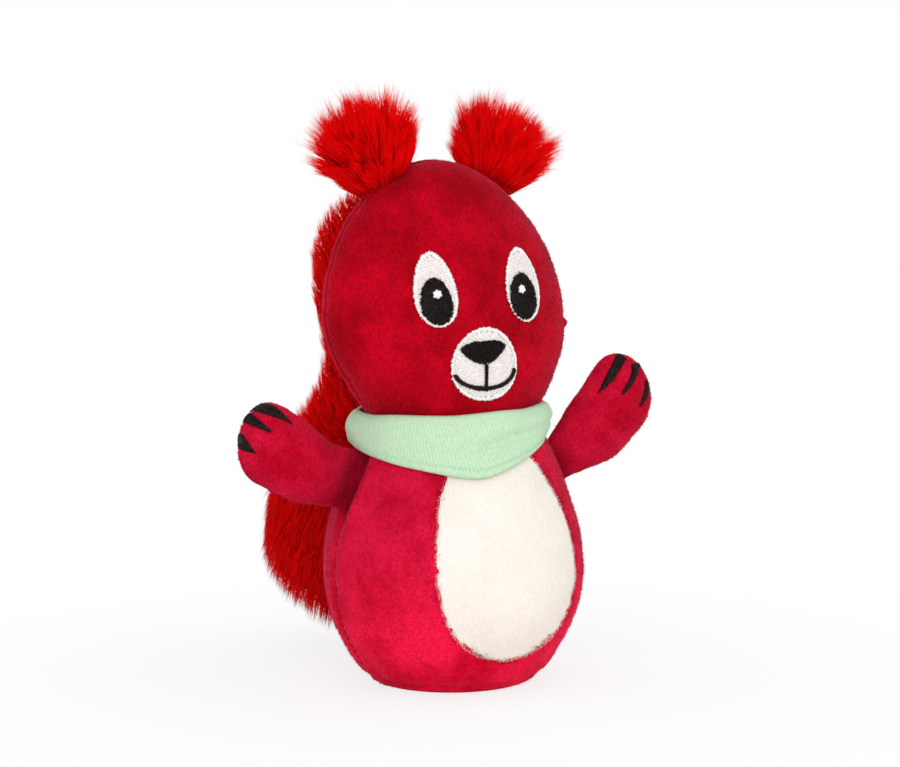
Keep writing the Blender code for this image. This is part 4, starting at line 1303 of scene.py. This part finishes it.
def build_tail(fur):
    low, high = TAIL_LOW, NECK_HEIGHT + TAIL_RISE

    def place(share, turn):
        share = (1 - math.cos(math.pi * share)) / 2
        height = mix(low, high, share)
        near_end = min(height - low, high - height, TAIL_END_ROUNDING)
        rounding = math.sqrt(max(1 - (1 - near_end / TAIL_END_ROUNDING) ** 2, 0))
        front = max(back_depth(height - 0.004), back_depth(height + 0.004)) + 0.0007
        edge = BODY_HALF_DEPTH + smooth_read(TAIL_SHAPE, share)
        across = (smooth_read(TAIL_SHAPE, share, 2) - 0.0020) * rounding * math.cos(turn)
        along = ((edge - front) / 2 - 0.0012) * rounding * math.sin(turn)
        return Vector((TAIL_OFFSET + across, (front + edge) / 2 + along, height))

    core = rounded_form("tail_core", 48, 52, place)
    dress(core, BACKING, ("tail_left_panel", "tail_right_panel", "tail_stuffing"))
    for side, name in ((-1, "right"), (1, "left")):
        roots, facing = scatter(core, fur.tail_hairs, 60 + side, lambda p: (p.x - TAIL_OFFSET) * side > 0)
        lift = np.clip((roots[:, 2] - 0.072) / 0.014, -1, 1)
        nap = np.stack([0 * lift, 0 * lift + 0.10, lift * 1.15], 1)
        swirl = fields(roots, 0.012, 62) * 0.30 + fields(roots, 0.003, 63) * 0.30
        random = np.random.default_rng(64 + side)
        lean = unit(facing * (0.58 - 0.06 * lift)[:, None] + nap + swirl + random.normal(size=roots.shape) * 0.14)
        # Hairs that would grow into the toy's back turn up or down along it
        into = np.minimum(lean[:, 1], 0) * (facing[:, 1] < -0.2)
        lean = unit(lean - np.stack([0 * into, into, 0 * into], 1) * 0.9)
        # The pile is shorter in the upper lobe
        long = fur.tail_pile * (0.70 + 0.45 * random.random(len(roots))) * (0.89 - 0.15 * lift)
        tips = clumped(roots, roots + lean * long[:, None], 0.0025, 65, 0.56)
        middles = roots + unit(facing + lean * 0.6) * long[:, None] * 0.5
        width = fur.hair_width * (0.75 + 0.5 * random.random(len(roots)))
        hairs(f"tail_{name}_fur", roots, middles, tips, width, 2, 66 + side)


def build_ear(side, name, fur):
    foot, up, across = ear_axes(side)

    def place(share, turn):
        run = (1 - math.cos(math.pi * share)) / 2
        spread = min(run / 0.7, 1)
        rounding = math.sqrt(max(1 - (max(run - 0.45, 0) / 0.55) ** 2.4, 0))
        inner = min(share / 0.08, 1)
        half_width = mix(EAR_HALF_WIDTH * 0.86, EAR_TOP_HALF_WIDTH * 0.74, spread) * rounding * inner
        half_thick = mix(0.62, 0.85, spread) * EAR_HALF_THICKNESS * rounding * inner
        middle = foot + up * (run * (EAR_LENGTH * 0.80) + 0.001)
        return middle + across * (half_width * math.cos(turn)) + BACKWARD * (half_thick * math.sin(turn))

    core = rounded_form(f"ear_{name}_core", 32, 24, place)
    dress(core, BACKING, (f"ear_{name}",))
    roots, facing = scatter(core, fur.ear_hairs, 80 + side, lambda p: (p - foot).dot(up) > 0.0014)
    random = np.random.default_rng(82 + side)
    fan = unit(roots - np.array(foot - up * 0.016))
    swirl = fields(roots, 0.0060, 83 + side) * 0.50 + fields(roots, 0.0024, 84 + side) * 0.32
    lean = unit(fan + facing * 0.50 + swirl + random.normal(size=roots.shape) * 0.14)
    # The hairs are longer towards the ear's end, and some locks longer than their neighbours
    rise = np.clip((roots - np.array(foot)) @ np.array(up) / (EAR_LENGTH * 0.62), 0, 1)
    long = fur.ear_pile * (0.60 + 0.40 * random.random(len(roots))) * (0.52 + 0.50 * rise)
    long *= 1 + 0.38 * fields(roots, 0.0050, 87 + side)[:, 0]
    long *= {"right": 1.10, "left": 1.0}[name]
    long[random.random(len(roots)) < 0.07] *= 1.25
    tips = clumped(roots, roots + lean * long[:, None], 0.0033, 85 + side, 0.60)
    middles = roots + unit(fan + facing * 0.45 + swirl * 0.4) * long[:, None] * 0.5
    width = fur.hair_width * 0.9 * (0.75 + 0.5 * random.random(len(roots)))
    hairs(f"ear_{name}_fur", roots, middles, tips, width, 3, 86 + side)


# Scarf


def scarf_point(turn, share, lift=0.0):
    """A place on the scarf's outside: share 0 is its lower edge and 1 its upper one."""
    # The point hangs a little lower than its solid's
    away = math.remainder(turn - math.radians(-101), 2 * math.pi)
    away *= 1.4 if away > 0 else 1.0
    blunt = math.radians(6)
    facing = max(1 - (math.hypot(away, blunt) - blunt) / math.radians(86), 0) ** 1.25
    drop = mix(SCARF_SIDE_DROP - 0.0006, SCARF_POINT_DROP + 0.0013, facing)
    height = NECK_HEIGHT + mix(-drop, SCARF_RISE, share)
    height += NECK_HALF_WIDTH * math.cos(turn) * math.tan(SCARF_TILT)
    half_width, half_depth = body_half_sizes(min(height, NECK_HEIGHT - 0.003))
    out = SCARF_THICKNESS + SCARF_EASE * math.sin(share * math.pi) + lift
    # It stands off a little more on the squirrel's right
    out += 0.0014 * bell(math.remainder(turn - math.pi, 2 * math.pi), 0.6) * math.sin(share * math.pi)
    across = SCARF_SHIFT + (half_width + out) * math.cos(turn)
    return Vector((across, (half_depth + out) * pinched(math.sin(turn), BODY_PINCH), height))


def build_scarf(cloth, thread):
    """A folded band: its outside, a rolled upper edge, a sewn lower edge and a crease across the front."""
    turns, rows = 260, 30
    points, triangles, corners = [], [], []
    for k in range(turns):
        turn = 2 * math.pi * k / turns
        # The fold starts at half height on the squirrel's left and fades towards its right
        from_left = math.remainder(turn - math.radians(-20), 2 * math.pi)
        fold = smooth_step(-1.9, -1.1, from_left) * smooth_step(1.6, 0.6, from_left)
        fold *= 1 - 0.6 * smooth_step(-0.75, -0.15, from_left)
        crease_at = 0.46 + 0.10 * max(-from_left, 0) / 1.5
        for row in range(rows):
            around = 2 * math.pi * row / rows
            share, side = 0.5 - 0.5 * math.cos(around), math.sin(around)
            lift = -0.0030 + 0.0030 * max(side, 0) ** 0.45
            if side > 0:
                lift -= 0.0024 * fold * bell(share - crease_at, 0.055)
                lift += 0.0008 * fold * bell(share - crease_at - 0.16, 0.09)
                lift -= 0.0003 * bell(share - 0.17, 0.03)
            spot = scarf_point(turn, share, lift)
            lump = noise.noise(Vector((math.cos(turn) * 2.5, math.sin(turn) * 2.5, share * 1.5)))
            outward = Vector((spot.x, spot.y, 0)).normalized()
            points.append(spot + outward * 0.0006 * lump + Vector((0, 0, 0.0005 * lump)))
            a, b = k * rows + row, ((k + 1) % turns) * rows + row
            c, d = k * rows + (row + 1) % rows, ((k + 1) % turns) * rows + (row + 1) % rows
            triangles += [(a, b, d), (a, d, c)]
            u0, u1, v0, v1 = k / turns, (k + 1) / turns, row / rows, (row + 1) / rows
            corners += [(u0, v0), (u1, v0), (u1, v1), (u0, v0), (u1, v1), (u0, v1)]
    scarf = mesh_of("scarf_band", [tuple(p) for p in points], triangles)
    layer = scarf.data.uv_layers.new(name=MAP_NAME)
    layer.uv.foreach_set("vector", np.array(corners, np.float32).ravel())
    smooth = scarf.modifiers.new("smooth", "SMOOTH")
    smooth.factor, smooth.iterations = 0.4, 2
    apply_modifier(scarf, "smooth")
    dress(scarf, "mint cotton jersey", ("scarf",))
    band = Surface(scarf)
    hem = Stitches(band, thread)
    for k in range(120):
        turn = math.radians(-196) + math.radians(212) * k / 120
        low, high = (scarf_point(turn + lean, share) for share, lean in ((0.14, 0.0), (0.19, 0.010)))
        for spot in (low, high):
            hit, facing, _, _ = band.tree.find_nearest(spot)
            spot.xyz = hit + facing * 0.0001
        hem.sew_between(low, high, facing, 0.00022, 0.00004)
    hem.make("scarf_hem_stitches", "mint sewing thread", ())


# The stage


def build_stage(stage):
    scene = bpy.context.scene
    scene.view_settings.view_transform = "Standard"
    bpy.ops.object.select_all(action="DESELECT")
    bpy.ops.mesh.primitive_grid_add(x_subdivisions=8, y_subdivisions=8, size=6)
    floor = bpy.context.active_object
    floor.name = "floor"
    floor.data.transform(floor.matrix_world)
    floor.matrix_world.identity()
    floor.data.materials.append(material("matt white paper"))
    scene.world = bpy.data.worlds.new("even light")
    scene.world.use_nodes = True
    tree = scene.world.node_tree
    tree.nodes.clear()
    rays = add_node(tree, "LightPath", output="Is Camera Ray")
    even, white = (add_node(tree, "Background", (opaque((1, 1, 1)), power)) for power in (stage.sky, 1.0))
    both = add_node(tree, "MixShader", (rays, even, white))
    feed(tree.nodes.new("ShaderNodeOutputWorld"), {"Surface": both})
    for name, place, size, power in (
        ("key soft box", (-0.85, -1.05, 0.62), 0.9, stage.key),
        ("fill soft box", (0.95, -0.75, 0.40), 0.9, stage.fill),
        ("top soft box", (0.1, 0.5, 1.2), 0.9, stage.fill * 0.5),
        ("low reflector", (-0.40, -0.80, 0.04), 0.8, stage.fill * 1.9),
    ):
        lamp = bpy.data.lights.new(name, "AREA")
        lamp.size, lamp.energy = size, power
        aim_at(bpy.data.objects.new(name, lamp), Vector(place), Vector((0, 0, 0.09)))
    lens = bpy.data.cameras.new("camera")
    lens.lens, lens.sensor_width = 85, 36
    scene.camera = bpy.data.objects.new("camera", lens)
    across, along = math.sin(stage.azimuth) * stage.distance, -math.cos(stage.azimuth) * stage.distance
    aim_at(scene.camera, Vector((across, along, stage.height)), Vector((-0.0009, 0.0005, 0.0987)))


def aim_at(thing, place, aim):
    """Puts a lamp or the camera at its place, looking at its aim."""
    thing.location = place
    thing.rotation_euler = (aim - place).to_track_quat("-Z", "Y").to_euler()
    bpy.context.scene.collection.objects.link(thing)


# Operators


def made_before(name):
    """A piece that an earlier operator made."""
    piece = bpy.data.objects.get(name)
    if piece is None:
        raise RuntimeError(f"{name} has to be made first")
    return piece


class SQUIRREL_OT_head(bpy.types.Operator):
    """Make the stuffed head cover and its pile"""

    bl_idname = "squirrel.head"
    bl_label = "Head"

    def execute(self, context):
        head = build_head(context.scene.squirrel_cloth)
        sew_seams("head_seam_stitches", head, NECK_HEIGHT + 0.006, 0.122, context.scene.squirrel_thread)
        return {"FINISHED"}


class SQUIRREL_OT_body(bpy.types.Operator):
    """Make the stuffed body cover, the tummy let into it, and their pile"""

    bl_idname = "squirrel.body"
    bl_label = "Body and tummy"

    def execute(self, context):
        cloth = context.scene.squirrel_cloth
        body = build_body(cloth)
        build_tummy(cloth, body)
        sew_seams("body_seam_stitches", body, 0.008, 0.060, context.scene.squirrel_thread)
        return {"FINISHED"}


class SQUIRREL_OT_arms(bpy.types.Operator):
    """Make both stuffed arms with their stitched claws"""

    bl_idname = "squirrel.arms"
    bl_label = "Arms and claws"

    def execute(self, context):
        for name in ARMS:
            build_claws(name, build_arm(name, context.scene.squirrel_cloth), context.scene.squirrel_thread)
        return {"FINISHED"}


class SQUIRREL_OT_face(bpy.types.Operator):
    """Stitch the eyes, muzzle, nose and smile on the head"""

    bl_idname = "squirrel.face"
    bl_label = "Stitched face"

    def execute(self, context):
        build_face(made_before("head_cover"), context.scene.squirrel_thread)
        return {"FINISHED"}


class SQUIRREL_OT_tail(bpy.types.Operator):
    """Make the tail's backing and its long fur"""

    bl_idname = "squirrel.tail"
    bl_label = "Tail"

    def execute(self, context):
        build_tail(context.scene.squirrel_fur)
        return {"FINISHED"}


class SQUIRREL_OT_ears(bpy.types.Operator):
    """Make both ear tufts"""

    bl_idname = "squirrel.ears"
    bl_label = "Ears"

    def execute(self, context):
        build_ear(-1, "right", context.scene.squirrel_fur)
        build_ear(1, "left", context.scene.squirrel_fur)
        return {"FINISHED"}


class SQUIRREL_OT_scarf(bpy.types.Operator):
    """Make the folded jersey scarf"""

    bl_idname = "squirrel.scarf"
    bl_label = "Scarf"

    def execute(self, context):
        build_scarf(context.scene.squirrel_cloth, context.scene.squirrel_thread)
        return {"FINISHED"}


class SQUIRREL_OT_stage(bpy.types.Operator):
    """Make the floor, the lamps and the camera"""

    bl_idname = "squirrel.stage"
    bl_label = "Stage"

    def execute(self, context):
        build_stage(context.scene.squirrel_stage)
        return {"FINISHED"}


OPERATORS = (
    SQUIRREL_OT_head,
    SQUIRREL_OT_body,
    SQUIRREL_OT_arms,
    SQUIRREL_OT_face,
    SQUIRREL_OT_tail,
    SQUIRREL_OT_ears,
    SQUIRREL_OT_scarf,
    SQUIRREL_OT_stage,
)


class SQUIRREL_PT_panel(bpy.types.Panel):
    """Lists the squirrel's pieces and settings"""

    bl_idname = "SQUIRREL_PT_panel"
    bl_label = "Plush squirrel"
    bl_space_type = "VIEW_3D"
    bl_region_type = "UI"
    bl_category = "Plush squirrel"

    def draw(self, context):
        for made in OPERATORS:
            self.layout.operator(made.bl_idname)
        for group in ("squirrel_cloth", "squirrel_fur", "squirrel_thread", "squirrel_stage"):
            settings = getattr(context.scene, group)
            box = self.layout.box()
            for name in settings.__annotations__:
                box.prop(settings, name)


GROUPS = {
    "squirrel_cloth": SquirrelCloth,
    "squirrel_fur": SquirrelFur,
    "squirrel_thread": SquirrelThread,
    "squirrel_stage": SquirrelStage,
}


def register():
    for made in (*GROUPS.values(), *OPERATORS, SQUIRREL_PT_panel):
        bpy.utils.register_class(made)
    for name, group in GROUPS.items():
        setattr(bpy.types.Scene, name, PointerProperty(type=group))


def unregister():
    for name in GROUPS:
        delattr(bpy.types.Scene, name)
    for made in reversed((*GROUPS.values(), *OPERATORS, SQUIRREL_PT_panel)):
        bpy.utils.unregister_class(made)


def main():
    register()
    for made in OPERATORS:
        group, name = made.bl_idname.split(".")
        getattr(getattr(bpy.ops, group), name)()


if __name__ == "__main__":
    main()
